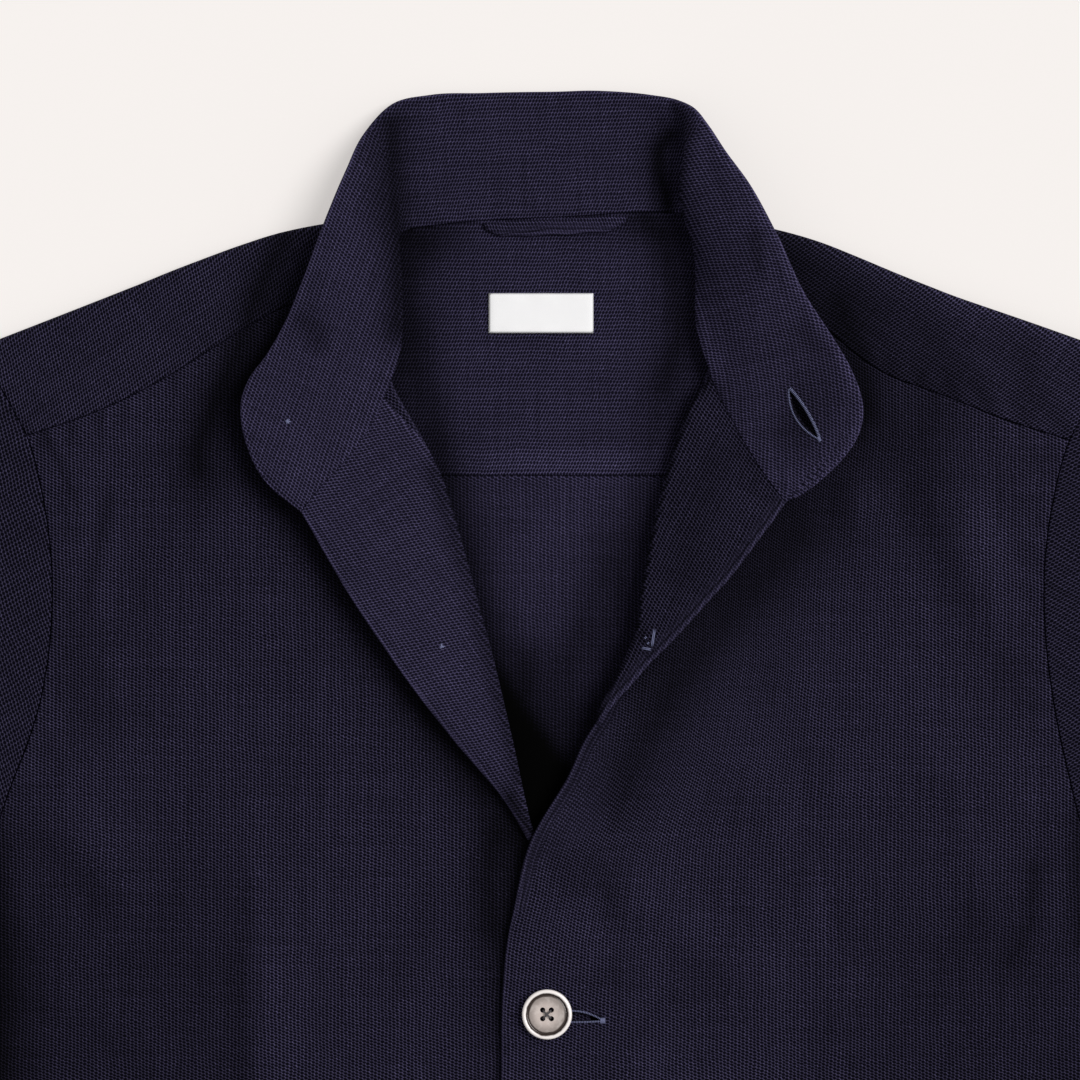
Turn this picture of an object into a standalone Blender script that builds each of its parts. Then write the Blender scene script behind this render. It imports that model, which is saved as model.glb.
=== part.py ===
"""Long-sleeved stand-collar jacket, unlined, laid out on its back with the collar open.

Frame: the jacket lies on the plane z = 0, +Z up out of the cloth, +X to the right of somebody who
looks down on it, +Y from the hem to the collar. The origin is on the underside of the back panel,
on the centre line. "left" and "right" in a name are the wearer's: the wearer's left is at +X.

Tables are in millimetres and the meshes in metres. Every cloth piece is a sheet of points on the
middle of its wall, and a Solidify modifier gives the wall its thickness.
"""
import math

import bpy
import bmesh
from mathutils import Matrix, Vector

MM = 0.001

# Walls
CLOTH = 1.6                 # one layer of the textured cloth, with its turned edges
BACK_CLOTH = 1.4            # the back panel, a plain single layer
YOKE_CLOTH = 2.2            # the yoke is double
FACING_CLOTH = 2.0          # front edge and facing together
COLLAR_CLOTH = 2.4          # two layers and an interlining
LABEL_CLOTH = 0.5
SEAM_GAP = 0.4              # clear space between two pieces that a seam joins

# Levels of the middle of each wall above the table
BACK_LEVEL = BACK_CLOTH / 2
YOKE_LEVEL = YOKE_CLOTH / 2
YOKE_FOLD_RADIUS = 2.2      # fold of the yoke along the shoulder
CHEST_LEVEL = 4.0           # fronts away from their edges
UNDERLAP_LEVEL = 2.9        # button side, under the overlap
OVERLAP_LEVEL = 5.3         # buttonhole side, over the underlap
SIDE_LEVEL = 2.7            # fronts at the side seams
YOKE_SEAM_LEVEL = 4.3       # fronts and yoke where they meet on the shoulder

# Body outline
HEM_Y = -391.0
HEM_HALF_WIDTH = 258.0
BACK_YOKE_Y = 226.0
BACK_COLUMNS = 25
LAP = 19.0                  # each front passes the centre line by this much

# Armhole from the shoulder point to the underarm, front and back (x, y) on the wearer's left
ARMHOLE_FRONT = ((228, 277), (217, 258), (208, 241), (202, 218), (198.5, 192), (198.5, 165),
                 (202, 135), (208, 106), (216, 77), (229, 52), (246, 35), (264, 24))
ARMHOLE_BACK = ((228, 277), (221, 250), (217, 226), (214, 180), (214, 130), (222, 85),
                (240, 48), (264, 24))
FRONT_STEPS = (0, .02, .07, .143, .23, .33, .43, .53, .63, .73, .83, .92, .98, 1)
BACK_STEPS = (0, .02, .08, .193, .33, .47, .61, .75, .88, .98, 1)
FRONT_YOKE_STEP = 3         # the step at which the front yoke seam meets the armhole
BACK_YOKE_STEP = 3

# Shoulder fold and front yoke seam, from the armhole to the neck
SHOULDER_EDGE = ((228, 277), (180, 295), (139, 311), (112, 321), (88, 326.5), (66, 329))
FRONT_YOKE_SEAM = ((208, 241), (180, 251.5), (154, 264), (128, 280), (103, 294), (68, 306))
SHOULDER_STEPS = (0, .12, .2, .27, .35, .42, .5, .57, .65, .72, .86, 1)

# Sleeve: outer fold and underarm seam, from the armhole to the cuff
SLEEVE_OUTER = ((230, 278), (262, 262), (305, 237), (350, 203), (388, 163), (418, 115),
                (438, 65), (470, -42), (503, -152), (536, -262))
SLEEVE_INNER = ((267.5, 27.5), (294, -32), (323, -95), (357, -165), (390, -232), (421, -296))
SLEEVE_ROWS = (0, .035, .08, .14, .21, .28, .35, .42, .49, .56, .63, .7, .78, .86, .94, 1)
SLEEVE_LOFT = 2.9           # between the middles of the sleeve's two layers
CAP_REACH = 0.3             # share of the sleeve over which the armhole's curve dies away
UNDERARM_LAG = 1.7          # rows lie closer at the underarm seam near the armhole

# Front edges, from the hem up to the neck: (x, y, level of the wall's middle)
# The button side ends on the roll line of its lapel, the buttonhole side likewise.
RIGHT_FRONT_EDGE = ((LAP, HEM_Y, UNDERLAP_LEVEL), (LAP, -200, UNDERLAP_LEVEL),
                    (LAP, -60, UNDERLAP_LEVEL), (16, 20, UNDERLAP_LEVEL),
                    (6, 58, UNDERLAP_LEVEL), (-9, 88, 3.1), (-16, 128, 4.4), (-28, 176, 5.7),
                    (-44, 228, 7.4), (-62, 262, 7.6), (-66, 282, 5.4), (-68, 306, 4.6))
LEFT_FRONT_EDGE = ((-LAP, HEM_Y, OVERLAP_LEVEL), (-LAP, -200, OVERLAP_LEVEL),
                   (-LAP, -60, OVERLAP_LEVEL), (-18, 22, 5.5),
                   (-13, 56, 6.6), (-7, 80, 8.0), (7.4, 104.8, 9.3), (13.4, 118.2, 10.0),
                   (19.8, 128.8, 10.4), (23.8, 136.8, 10.6), (27.8, 143.2, 10.7),
                   (34.0, 156.6, 10.8), (37.8, 166.6, 10.2), (39.6, 182, 8.6), (46.8, 218, 6.8),
                   (62, 262, 6.4), (66, 282, 5.2), (68, 306, 4.6))
ROLL_REACH = 34.0           # how far a raised front edge lifts the cloth beside it
FRONT_COLUMNS = 21
HEM_ROWS = 14               # rows of the fronts from the hem to the underarm

# Lapels: the part of each front and its facing that is turned out, from the break to the collar.
# Roll line (x, y, level) and outer edge (x, y, level).
RIGHT_LAPEL_ROLL = ((-5.5, 81, 5.3), (-9.5, 98, 6.3), (-16, 128, 8.1), (-28, 176, 9.8),
                    (-43.5, 228, 10.3), (-63.2, 257.4, 10.3))
RIGHT_LAPEL_EDGE = ((-8.0, 80, 5.3), (-19, 98, 7.6), (-39, 122, 11.2), (-59, 150, 14.1),
                    (-79, 180, 15.1), (-96.9, 211.0, 15.3))
LEFT_LAPEL_ROLL = ((19.6, 127.6, 12.6), (22.8, 136.4, 13.0), (26.7, 142.6, 13.1),
                   (32.9, 156.3, 13.1), (36.6, 166.2, 12.8), (38.4, 181, 11.3),
                   (45.6, 217, 9.3), (56, 250, 9.0), (65.1, 266.4, 9.4))
LEFT_LAPEL_EDGE = ((21.2, 126.6, 12.6), (25.9, 134.4, 13.3), (33.3, 142.4, 14.2),
                   (40.1, 150.5, 15.0), (47.6, 158.0, 16.0), (56.3, 167.3, 17.2),
                   (65.1, 177.3, 18.2), (72.6, 185.5, 18.8), (84.8, 201.4, 18.6),
                   (94.0, 212.4, 17.6))
# How far the lapels' upper seams curve away from the collar
RIGHT_LAPEL_BOW, LEFT_LAPEL_BOW = 1.7, -3.0
LAPEL_ROWS = 11
LAPEL_COLUMNS = 5

# Collar, from the wearer's right end to the left end, a row for each station:
# seam (x, y, level), top edge (x, y, level), crown (x, y, level) added in the middle
COLLAR_STATIONS = (
    ((-98.0, 211.0, 15.4), (-107.2, 218.0, 15.6), (0, 0, 0)),
    ((-96.9, 213.2, 15.2), (-114.4, 226.0, 16.0), (0, 0, .2)),
    ((-93.8, 217.2, 14.8), (-118.4, 234.0, 16.4), (0, 0, .5)),
    ((-90.2, 221.6, 14.2), (-121.2, 243.2, 16.8), (0, 0, .8)),
    ((-84.6, 227.6, 13.2), (-122.0, 254.0, 17.2), (0, 0, 1.2)),
    ((-78.8, 234.4, 12.4), (-119.2, 263.0, 17.6), (0, 0, 1.6)),
    ((-71.4, 245.2, 11.4), (-112.0, 273.0, 18.0), (0, 0, 2.4)),
    ((-64.6, 259.8, 10.2), (-104.5, 286.0, 18.6), (0, 0, 3.6)),
    ((-59.5, 276.0, 7.8), (-96.5, 305.0, 19.4), (0, 0, 4.6)),
    ((-59.0, 296.0, 6.0), (-87.5, 329.0, 20.4), (2, 0, 4.2)),
    ((-60.0, 310.0, 5.0), (-80.0, 347.0, 18.6), (3, 0, 2.2)),
    ((-61.0, 320.0, 4.3), (-73.0, 362.0, 12.6), (3, 0, -.4)),
    ((-57.0, 323.8, 3.7), (-64.0, 373.0, 6.4), (1, 0, -1.4)),
    ((-42.0, 326.6, 1.6), (-47.0, 378.2, 3.0), (0, 0, 0)),
    ((-27.0, 327.9, 1.6), (-27.0, 379.0, 2.2), (0, 0, 0)),
    ((-11.0, 328.7, 1.6), (-12.0, 379.4, 2.0), (0, 0, 0)),
    ((5.0, 329.4, 1.6), (4.0, 379.6, 2.0), (0, 0, 0)),
    ((19.0, 330.3, 1.6), (17.0, 380.0, 2.0), (0, 0, 0)),
    ((33.0, 331.2, 1.6), (30.0, 379.4, 2.4), (0, 0, 0)),
    ((47.0, 331.4, 1.6), (42.0, 378.0, 3.4), (2, 0, -.6)),
    ((56.0, 330.6, 3.7), (51.0, 375.9, 6.6), (4, 0, -1.6)),
    ((60.5, 328.0, 4.3), (57.5, 372.4, 12.6), (-4, 0, 1)),
    ((62.0, 322.0, 5.0), (63.2, 365.0, 18.4), (-9, 0, 2.2)),
    ((62.5, 313.0, 5.8), (70.2, 354.0, 21.8), (-7, 0, 3)),
    ((61.5, 300.0, 6.6), (79.9, 340.4, 23.4), (-3, 0, 4.1)),
    ((61.5, 285.0, 7.8), (90.6, 320.6, 23.6), (0, 0, 4.5)),
    ((66.2, 268.6, 9.4), (101.6, 297.2, 22.6), (0, 0, 3.8)),
    ((70.2, 256.8, 11.2), (112.8, 280.0, 21.4), (0, 0, 2.6)),
    ((74.6, 245.8, 13.0), (120.6, 266.5, 20.2), (0, 0, 1.6)),
    ((80.2, 235.4, 15.0), (124.8, 253.0, 19.4), (0, 0, 1.2)),
    ((85.4, 227.0, 16.6), (123.6, 243.0, 19.0), (0, 0, .8)),
    ((89.6, 220.9, 17.4), (119.2, 235.0, 18.7), (0, 0, .5)),
    ((92.2, 217.4, 17.7), (113.4, 228.4, 18.4), (0, 0, .2)),
    ((94.2, 214.9, 17.8), (104.4, 220.6, 18.1), (0, 0, 0)),
)
COLLAR_RISE = (0, .08, .22, .4, .6, .8, .94, 1)
NECK_STATIONS = range(12, 21)       # stations whose seam lies on the back yoke

# The jacket lies a little askew: centre (x, y), reach (x, y) and shift (x, y) of the cloth there
SETTLE = (
    ((145, 318), (58, 90), (0, -3.9)),
    ((225, 290), (45, 80), (0, -1.8)),
    ((126, 276), (30, 18), (0, -6.4)),
    ((-155, 310), (60, 60), (0, 1.2)),
    ((-214, 84), (40, 38), (-7.0, 0)),
)

# Soft folds of the fronts: from (x, y) to (x, y), width and height of the ridge
FRONT_FOLDS = (
    ((-199, 242), (-184, 176), 10, 1.7),
    ((-183, 226), (-172, 160), 11, -1.2),
    ((150, 236), (190, 158), 15, 2.2),
    ((178, 216), (200, 176), 10, -1.2),
    ((123, 224), (121, 204), 9, 1.3),
    ((-140, 250), (-126, 160), 20, .9),
    ((-117, 66), (-117, -130), 10, 1.1),
    ((119, 70), (119, -100), 10, 1.1),
    ((-224, 98), (-168, 58), 13, 1.6),
    ((-217, 50), (-216, -120), 13, -1.0),
    ((222, 84), (166, 34), 13, 1.7),
    ((240, 30), (205, -60), 14, 1.2),
    ((32, 52), (88, 22), 12, 1.3),
    ((30, -8), (78, -60), 13, 1.1),
    ((-30, 40), (-92, 8), 13, 1.0),
    ((-214, -150), (-150, -350), 24, 1.9),
    ((-150, -120), (-96, -330), 20, -1.0),
    ((-78, -190), (-58, -391), 20, 1.5),
    ((66, -170), (98, -391), 22, 1.6),
    ((150, -200), (140, -391), 20, -1.0),
    ((188, -110), (218, -340), 22, 1.8),
)
# Soft folds of the wearer's left sleeve; the right one has its own set
LEFT_SLEEVE_FOLDS = (
    ((246, 66), (338, 112), 15, 1.3),
    ((276, 24), (370, 46), 14, 1.3),
    ((232, 160), (330, 186), 22, .9),
    ((316, 226), (366, 70), 20, 1.0),
    ((338, -105), (430, -58), 13, 1.5),
    ((346, -142), (446, -130), 14, 1.3),
    ((404, -10), (476, -112), 16, 1.1),
    ((392, -200), (470, -226), 14, 1.0),
)
RIGHT_SLEEVE_FOLDS = (
    ((242, 72), (330, 130), 16, 1.3),
    ((280, 16), (360, 22), 13, 1.2),
    ((228, 178), (322, 176), 22, .8),
    ((322, 216), (362, 48), 22, 1.1),
    ((332, -88), (416, -24), 13, 1.5),
    ((352, -152), (456, -112), 15, 1.4),
    ((414, -56), (470, -150), 15, 1.0),
    ((404, -214), (486, -232), 13, 1.0),
)

# Hanger loop in the neck seam and label on the yoke
LOOP_TOP_HALF, LOOP_FOOT_HALF = 29.4, 21.4
LOOP_CENTRE_X, LOOP_TOP_Y, LOOP_WIDTH = 3.0, 328.2, 5.9
LOOP_SLOPE, LOOP_SAG = .05, .4      # it follows the slope of the neck seam
LOOP_CLOTH = 1.2
LABEL_CENTRE, LABEL_SIZE = (-2.8, 290.8), (42.0, 16.0)

# Buttons: outer radius, thickness, rim, dish and holes
BUTTON_RADIUS = 10.0
BUTTON_THICKNESS = 3.0
BUTTON_HOLE_RADIUS = 0.85
BUTTON_HOLE_OFFSET = 1.7
BUTTON_SIDES = 28
# Turned profile (radius, height) from the middle of the underside to the middle of the dish
BUTTON_PROFILE = ((6.6, 0), (9.0, .7), (10.0, 1.9), (9.6, 2.8), (8.7, 3.0), (7.7, 2.7),
                  (7.1, 2.0), (6.6, 2.1), (5.0, 1.7))
BUTTON_FLOOR = 1.6
FRONT_BUTTON_PITCH = 150.0
CHEST_BUTTON = (-.4, 10.8)
LAPEL_BUTTON, LAPEL_BUTTON_LEVEL, LAPEL_BUTTON_FACE = (-43.4, 157.6), 10.0, (-.09, 0, -1)
COLLAR_BUTTON, COLLAR_BUTTON_LEVEL, COLLAR_BUTTON_FACE = (-103.2, 247.2), 14.2, (-.09, .03, -1)

NAVY = (0.0175, 0.0152, 0.0310, 1)
NAVY_INSIDE = (0.0200, 0.0175, 0.0350, 1)
LABEL_WHITE = (0.90, 0.89, 0.86, 1)
BUTTON_GREY = (0.42, 0.38, 0.34, 1)


# Curves and heights ---------------------------------------------------------------------------

def curve_points(knots, steps, dense=24):
    """Points at the given shares of the length of a smooth curve through the knots."""
    knots = [Vector([float(c) for c in knot]) for knot in knots]
    ends = [2 * knots[0] - knots[1]] + knots + [2 * knots[-1] - knots[-2]]
    trail = []
    for a, b, c, d in zip(ends, ends[1:], ends[2:], ends[3:]):
        for i in range(dense):
            t = i / dense
            trail.append(0.5 * (2 * b + (c - a) * t + (2 * a - 5 * b + 4 * c - d) * t * t
                                + (3 * b - a - 3 * c + d) * t ** 3))
    trail.append(knots[-1])
    lengths = [0.0]
    for a, b in zip(trail, trail[1:]):
        lengths.append(lengths[-1] + (b - a).length)
    points = []
    for step in steps:
        goal = step * lengths[-1]
        i = next((k for k in range(1, len(trail)) if lengths[k] >= goal - 1e-9), len(trail) - 1)
        share = (goal - lengths[i - 1]) / max(lengths[i] - lengths[i - 1], 1e-9)
        points.append(trail[i - 1].lerp(trail[i], share))
    return points


def even_steps(count):
    return [i / (count - 1) for i in range(count)]


def fold_height(x, y, folds):
    """Sum of the soft ridges and troughs at a place on the cloth."""
    height = 0.0
    for (x0, y0), (x1, y1), width, rise in folds:
        run_x, run_y = x1 - x0, y1 - y0
        run = run_x * run_x + run_y * run_y
        along = ((x - x0) * run_x + (y - y0) * run_y) / run
        nearest = min(max(along, 0.0), 1.0)
        away = math.hypot(x - x0 - nearest * run_x, y - y0 - nearest * run_y)
        height += rise * math.exp(-(away / width) ** 2)
    return height


def settled(points):
    """The points of a panel, moved with the cloth where it lies askew."""
    moved = []
    for x, y, z in points:
        shift_x = shift_y = 0.0
        for centre, reach, shift in SETTLE:
            away = ((x - centre[0]) / reach[0]) ** 2 + ((y - centre[1]) / reach[1]) ** 2
            shift_x += shift[0] * math.exp(-away)
            shift_y += shift[1] * math.exp(-away)
        moved.append((x + shift_x, y + shift_y, z))
    return moved


def smooth_step(low, high, value):
    t = min(max((value - low) / (high - low), 0.0), 1.0)
    return t * t * (3 - 2 * t)


# Meshes ---------------------------------------------------------------------------------------

def make_material(name, color, roughness, metallic=0.0):
    material = bpy.data.materials.new(name)
    material.use_nodes = True
    shader = material.node_tree.nodes["Principled BSDF"]
    shader.inputs["Base Color"].default_value = color
    shader.inputs["Roughness"].default_value = roughness
    shader.inputs["Metallic"].default_value = metallic
    return material


def add_object(name, mesh, material):
    piece = bpy.data.objects.new(name, mesh)
    bpy.context.scene.collection.objects.link(piece)
    mesh.materials.clear()
    mesh.materials.append(material)
    return piece


def add_cloth(name, points, faces, thickness, material):
    """A sheet through the given points, in millimetres, with a wall of the given thickness."""
    mesh = bpy.data.meshes.new(name)
    mesh.from_pydata([Vector(p) * MM for p in points], [], faces)
    mesh.shade_smooth()
    piece = add_object(name, mesh, material)
    wall = piece.modifiers.new("wall", "SOLIDIFY")
    wall.thickness = thickness * MM
    wall.offset = 0.0
    wall.use_quality_normals = True
    return piece


def grid_faces(rows, columns, closed=False):
    """Quads of a grid stored row by row; a closed grid joins its last column to its first."""
    faces = []
    for r in range(rows - 1):
        for c in range(columns if closed else columns - 1):
            d = (c + 1) % columns
            faces.append((r * columns + c, r * columns + d,
                          (r + 1) * columns + d, (r + 1) * columns + c))
    return faces


# Cloth pieces ---------------------------------------------------------------------------------

def make_back(material):
    """Back panel: flat on the table from the hem to the yoke seam."""
    armhole = curve_points(ARMHOLE_BACK, BACK_STEPS)[BACK_YOKE_STEP:]
    armhole[0].y = BACK_YOKE_Y - SEAM_GAP
    half_rows = [(HEM_HALF_WIDTH, HEM_Y), (261.0, -180.0), (263.0, -60.0)]
    half_rows += [(p.x, p.y) for p in reversed(armhole)]
    columns = BACK_COLUMNS
    points = []
    for half_width, y in half_rows:
        for c in range(columns):
            points.append((half_width * (2 * c / (columns - 1) - 1), y, BACK_LEVEL))
    faces = grid_faces(len(half_rows), columns)
    return add_cloth("back", settled(points), faces, BACK_CLOTH, material)


def yoke_shoulder_column(edge, outward, foot, seam, armhole_rows):
    """One line of the yoke: flat on the table, round the shoulder, down to the front seam."""
    inset = YOKE_FOLD_RADIUS + YOKE_CLOTH / 2
    centre = edge - outward * inset
    line = [foot.lerp(centre, g) for g in (0, .3, .585, .85)]
    if armhole_rows:
        line[2] = armhole_rows[0]
    column = [(p.x, p.y, YOKE_LEVEL) for p in line]
    for turn in (-90, -50, -15, 15, 50, 90):
        angle = math.radians(turn)
        spot = centre + outward * YOKE_FOLD_RADIUS * math.cos(angle)
        column.append((spot.x, spot.y, YOKE_LEVEL + YOKE_FOLD_RADIUS * (1 + math.sin(angle))))
    top_level = YOKE_LEVEL + 2 * YOKE_FOLD_RADIUS
    middle = armhole_rows[1] if armhole_rows else centre.lerp(seam, .5)
    middle_level = YOKE_SEAM_LEVEL + (top_level - YOKE_SEAM_LEVEL) * .6
    column.append((middle.x, middle.y, middle_level))
    column.append((seam.x, seam.y, YOKE_SEAM_LEVEL))
    return column


def make_yoke(material):
    """Double yoke: it lines the back neck and wraps over both shoulders to the front."""
    back_armhole = curve_points(ARMHOLE_BACK, BACK_STEPS)
    front_armhole = curve_points(ARMHOLE_FRONT, FRONT_STEPS)
    edge = curve_points(SHOULDER_EDGE, SHOULDER_STEPS)
    seam = yoke_front_seam(SHOULDER_STEPS)
    shoulder = []
    for i, spot in enumerate(edge):
        ahead = edge[min(i + 1, len(edge) - 1)]
        behind = edge[max(i - 1, 0)]
        along = (behind - ahead).normalized()
        outward = Vector((-along.y, along.x))
        share = spot.x / edge[0].x
        foot = Vector((back_armhole[BACK_YOKE_STEP].x * share, BACK_YOKE_Y))
        rows = None
        if i == 0:
            rows = (back_armhole[2], front_armhole[2])
            outward = Vector((math.sin(math.radians(20)), math.cos(math.radians(20))))
        shoulder.append(yoke_shoulder_column(spot, outward, foot, seam[i], rows))
    neck = []
    for station in NECK_STATIONS:
        x, y, _ = COLLAR_STATIONS[station][0]
        top = Vector((x, y - SEAM_GAP))
        foot = Vector((x * back_armhole[BACK_YOKE_STEP].x / edge[0].x, BACK_YOKE_Y))
        neck.append([(*foot.lerp(top, g), YOKE_LEVEL) for g in (0, .3, .6, .88, 1)])
    mirrored = [[(-x, y, z) for x, y, z in column] for column in shoulder]
    columns = mirrored + neck + shoulder[::-1]
    points = [p for column in columns for p in column]
    starts = [sum(len(c) for c in columns[:i]) for i in range(len(columns))]
    faces = []
    for i in range(len(columns) - 1):
        shared = min(len(columns[i]), len(columns[i + 1]))
        for r in range(shared - 1):
            a, b = starts[i] + r, starts[i + 1] + r
            faces.append((a, b, b + 1, a + 1))
    return add_cloth("yoke", settled(points), faces, YOKE_CLOTH, material)


def yoke_front_seam(steps):
    """Front yoke seam, its armhole end on the armhole's own point."""
    corner = curve_points(ARMHOLE_FRONT, FRONT_STEPS)[FRONT_YOKE_STEP]
    return curve_points((tuple(corner),) + FRONT_YOKE_SEAM[1:], steps)


def front_field(x, y):
    """Level of a front away from its edges, before it meets them."""
    level = CHEST_LEVEL + fold_height(x, y, FRONT_FOLDS)
    crown = math.exp(-((abs(x) - 125) / 60) ** 2) * math.exp(-((y - 20) / 240) ** 2)
    return level + .9 * crown


def front_grid(edge_knots, side):
    """Rows of points of a front, from the hem to the yoke seam, and its two side borders."""
    armhole = curve_points(ARMHOLE_FRONT, FRONT_STEPS)[FRONT_YOKE_STEP:][::-1]
    outer = [Vector((HEM_HALF_WIDTH, HEM_Y)).lerp(Vector((264, 24)), i / HEM_ROWS)
             for i in range(HEM_ROWS)]
    outer += armhole
    levels = [SIDE_LEVEL] * HEM_ROWS
    levels += [SIDE_LEVEL + (CHEST_LEVEL - SIDE_LEVEL) * smooth_step(0, 4, i)
               for i in range(len(armhole))]
    levels[-1] = YOKE_SEAM_LEVEL
    inner = inner_border(edge_knots, len(outer), HEM_ROWS)
    seam = yoke_front_seam(even_steps(FRONT_COLUMNS))
    rows = []
    for r, (start, level, end) in enumerate(zip(outer, levels, inner)):
        row = []
        toward_top = smooth_step(len(outer) - 6, len(outer) - 1, r)
        for c in range(FRONT_COLUMNS):
            share = c / (FRONT_COLUMNS - 1)
            flat = Vector((start.x, start.y)).lerp(Vector((side * end.x, end.y)), share)
            chord = seam[0].lerp(seam[-1], share)
            flat += (seam[c] - chord) * toward_top
            x = side * flat.x
            y = flat.y
            row.append([x, y, front_level(x, y, side, start, level, end, toward_top)])
        rows.append(row)
    for point in rows[-1]:
        point[1] -= 3 * SEAM_GAP
    return rows


def inner_border(edge_knots, row_count, hem_rows):
    """Points of a front edge, one a row: by height below the underarm, then by length."""
    trail = curve_points(edge_knots, even_steps(241))
    levels_y = [HEM_Y + (24 - HEM_Y) * i / hem_rows for i in range(hem_rows + 1)]
    border = [min(trail, key=lambda p, y=y: abs(p.y - y)) for y in levels_y]
    start = trail.index(border[-1])
    left = row_count - len(border)
    for i in range(1, left + 1):
        border.append(trail[round(start + (len(trail) - 1 - start) * i / left)])
    return border


def front_level(x, y, side, outer, outer_level, inner, toward_top):
    """Level of the wall's middle: the field, pulled to the level of each border near it."""
    level = front_field(x, y)
    to_inner = math.hypot(x - inner.x, y - inner.y)
    to_outer = math.hypot(abs(x) - outer.x, y - outer.y)
    reach = ROLL_REACH if side > 0 or y < 80 else ROLL_REACH / 2
    level += (inner.z - front_field(inner.x, inner.y)) * math.exp(-(to_inner / reach) ** 2)
    level += ((outer_level - front_field(side * outer.x, outer.y))
              * math.exp(-(to_outer / 22.0) ** 2))
    level += (YOKE_SEAM_LEVEL - level) * toward_top ** 2
    if side < 0:
        under = smooth_step(-62, -24, x) * smooth_step(110, 70, y)
        level += (min(level, UNDERLAP_LEVEL) - level) * under
    else:
        over = smooth_step(52, 24, x) * smooth_step(150, 60, y)
        level += (max(level, OVERLAP_LEVEL) - level) * over
    return level


def make_front(name, edge_knots, side, material):
    rows = front_grid(edge_knots, side)
    points = [p for row in rows for p in row]
    faces = grid_faces(len(rows), FRONT_COLUMNS)
    return add_cloth(name, settled(points), faces, CLOTH, material)


def make_lapel(name, roll_knots, edge_knots, bow, material):
    """Turned-out facing, from the break of the front to the curved collar seam."""
    roll = curve_points(roll_knots, even_steps(LAPEL_ROWS))
    edge = curve_points(edge_knots, even_steps(LAPEL_ROWS))
    chord = (edge[-1] - roll[-1]).normalized()
    away = Vector((-chord.y, chord.x, 0)) * bow
    points = []
    for start, end, share in zip(roll, edge, even_steps(LAPEL_ROWS)):
        for t in even_steps(LAPEL_COLUMNS):
            points.append(tuple(start.lerp(end, t) + away * 4 * t * (1 - t) * share ** 4))
    faces = grid_faces(LAPEL_ROWS, LAPEL_COLUMNS)
    return add_cloth(name, points, faces, FACING_CLOTH, material)


def make_collar(material):
    """Stand collar: its back lies flat past the neck seam and its ends are folded outward."""
    points = []
    for seam, top, crown in COLLAR_STATIONS:
        for rise in COLLAR_RISE:
            swell = math.sin(math.pi * rise ** .75)
            point = Vector(seam).lerp(Vector(top), rise) + Vector(crown) * swell
            points.append(tuple(point))
    faces = grid_faces(len(COLLAR_STATIONS), len(COLLAR_RISE))
    return add_cloth("collar", points, faces, COLLAR_CLOTH, material)


def make_sleeve(name, side, folds, material):
    """Flattened open tube, from the armhole to the cuff."""
    front = outset(curve_points(ARMHOLE_FRONT, FRONT_STEPS))
    back = outset(curve_points(ARMHOLE_BACK, BACK_STEPS))
    ring_steps = [(s, True) for s in FRONT_STEPS] + [(s, False) for s in BACK_STEPS[-2:0:-1]]
    armhole = front + back[-2:0:-1]
    outer = curve_points(SLEEVE_OUTER, SLEEVE_ROWS)
    inner = curve_points(SLEEVE_INNER, [share ** UNDERARM_LAG for share in SLEEVE_ROWS])
    front[0] = back[0] = outer[0]
    front[-1] = back[-1] = inner[0]
    points = []
    for share, top, foot in zip(SLEEVE_ROWS, outer, inner):
        fade = max(0.0, 1 - share / CAP_REACH) ** 2
        for (step, on_front), seam_point in zip(ring_steps, armhole):
            flat = top.lerp(foot, step)
            flat += (seam_point - front[0].lerp(front[-1], step)) * fade
            x, y = flat
            if step in (0, 1):
                level = BACK_LEVEL + SLEEVE_LOFT / 2
            elif on_front:
                loft = SLEEVE_LOFT + fold_height(x, y, folds)
                loft += (cap_level(step) - BACK_LEVEL - loft) * fade ** 2
                level = BACK_LEVEL + loft
            else:
                level = BACK_LEVEL
            points.append((side * x, y, level))
    faces = grid_faces(len(SLEEVE_ROWS), len(ring_steps), closed=True)
    return add_cloth(name, settled(points), faces, BACK_CLOTH, material)


def cap_level(step):
    """Level of the sleeve's upper layer at the armhole, beside the yoke and the front."""
    yoke_end = FRONT_STEPS[FRONT_YOKE_STEP]
    shoulder_level = YOKE_LEVEL + 2 * YOKE_FOLD_RADIUS
    if step < yoke_end:
        return shoulder_level + (YOKE_SEAM_LEVEL - shoulder_level) * step / yoke_end
    level = YOKE_SEAM_LEVEL + (CHEST_LEVEL - YOKE_SEAM_LEVEL) * smooth_step(yoke_end, .3, step)
    return level + (SIDE_LEVEL - CHEST_LEVEL) * smooth_step(.75, 1, step)


def outset(points):
    """The armhole moved out by the seam gap, for the sleeve's own edge."""
    moved = []
    last = len(points) - 1
    for i, spot in enumerate(points):
        along = points[min(i + 1, last)] - points[max(i - 1, 0)]
        normal = Vector((-along.y, along.x)).normalized()
        fold = BACK_CLOTH if i < 2 else 2 * BACK_CLOTH if last - i < 2 else 0
        moved.append(spot + normal * (2 * SEAM_GAP + fold))
    return moved


def make_hanger_loop(material):
    """Folded strip that hangs from the neck seam against the yoke."""
    level = YOKE_CLOTH + .5 + LOOP_CLOTH / 2
    points = []
    for drop, half in ((0, LOOP_TOP_HALF), (.5, LOOP_TOP_HALF - 1.5), (1, LOOP_FOOT_HALF)):
        for c in range(9):
            share = 2 * c / 8 - 1
            x = LOOP_CENTRE_X + half * share
            sag = LOOP_SAG * (1 - share * share) * drop
            y = LOOP_TOP_Y + LOOP_SLOPE * x - LOOP_WIDTH * drop - sag
            points.append((x, y, level + .7 * (1 - share * share)))
    return add_cloth("hanger_loop", points, grid_faces(3, 9), LOOP_CLOTH, material)


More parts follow.
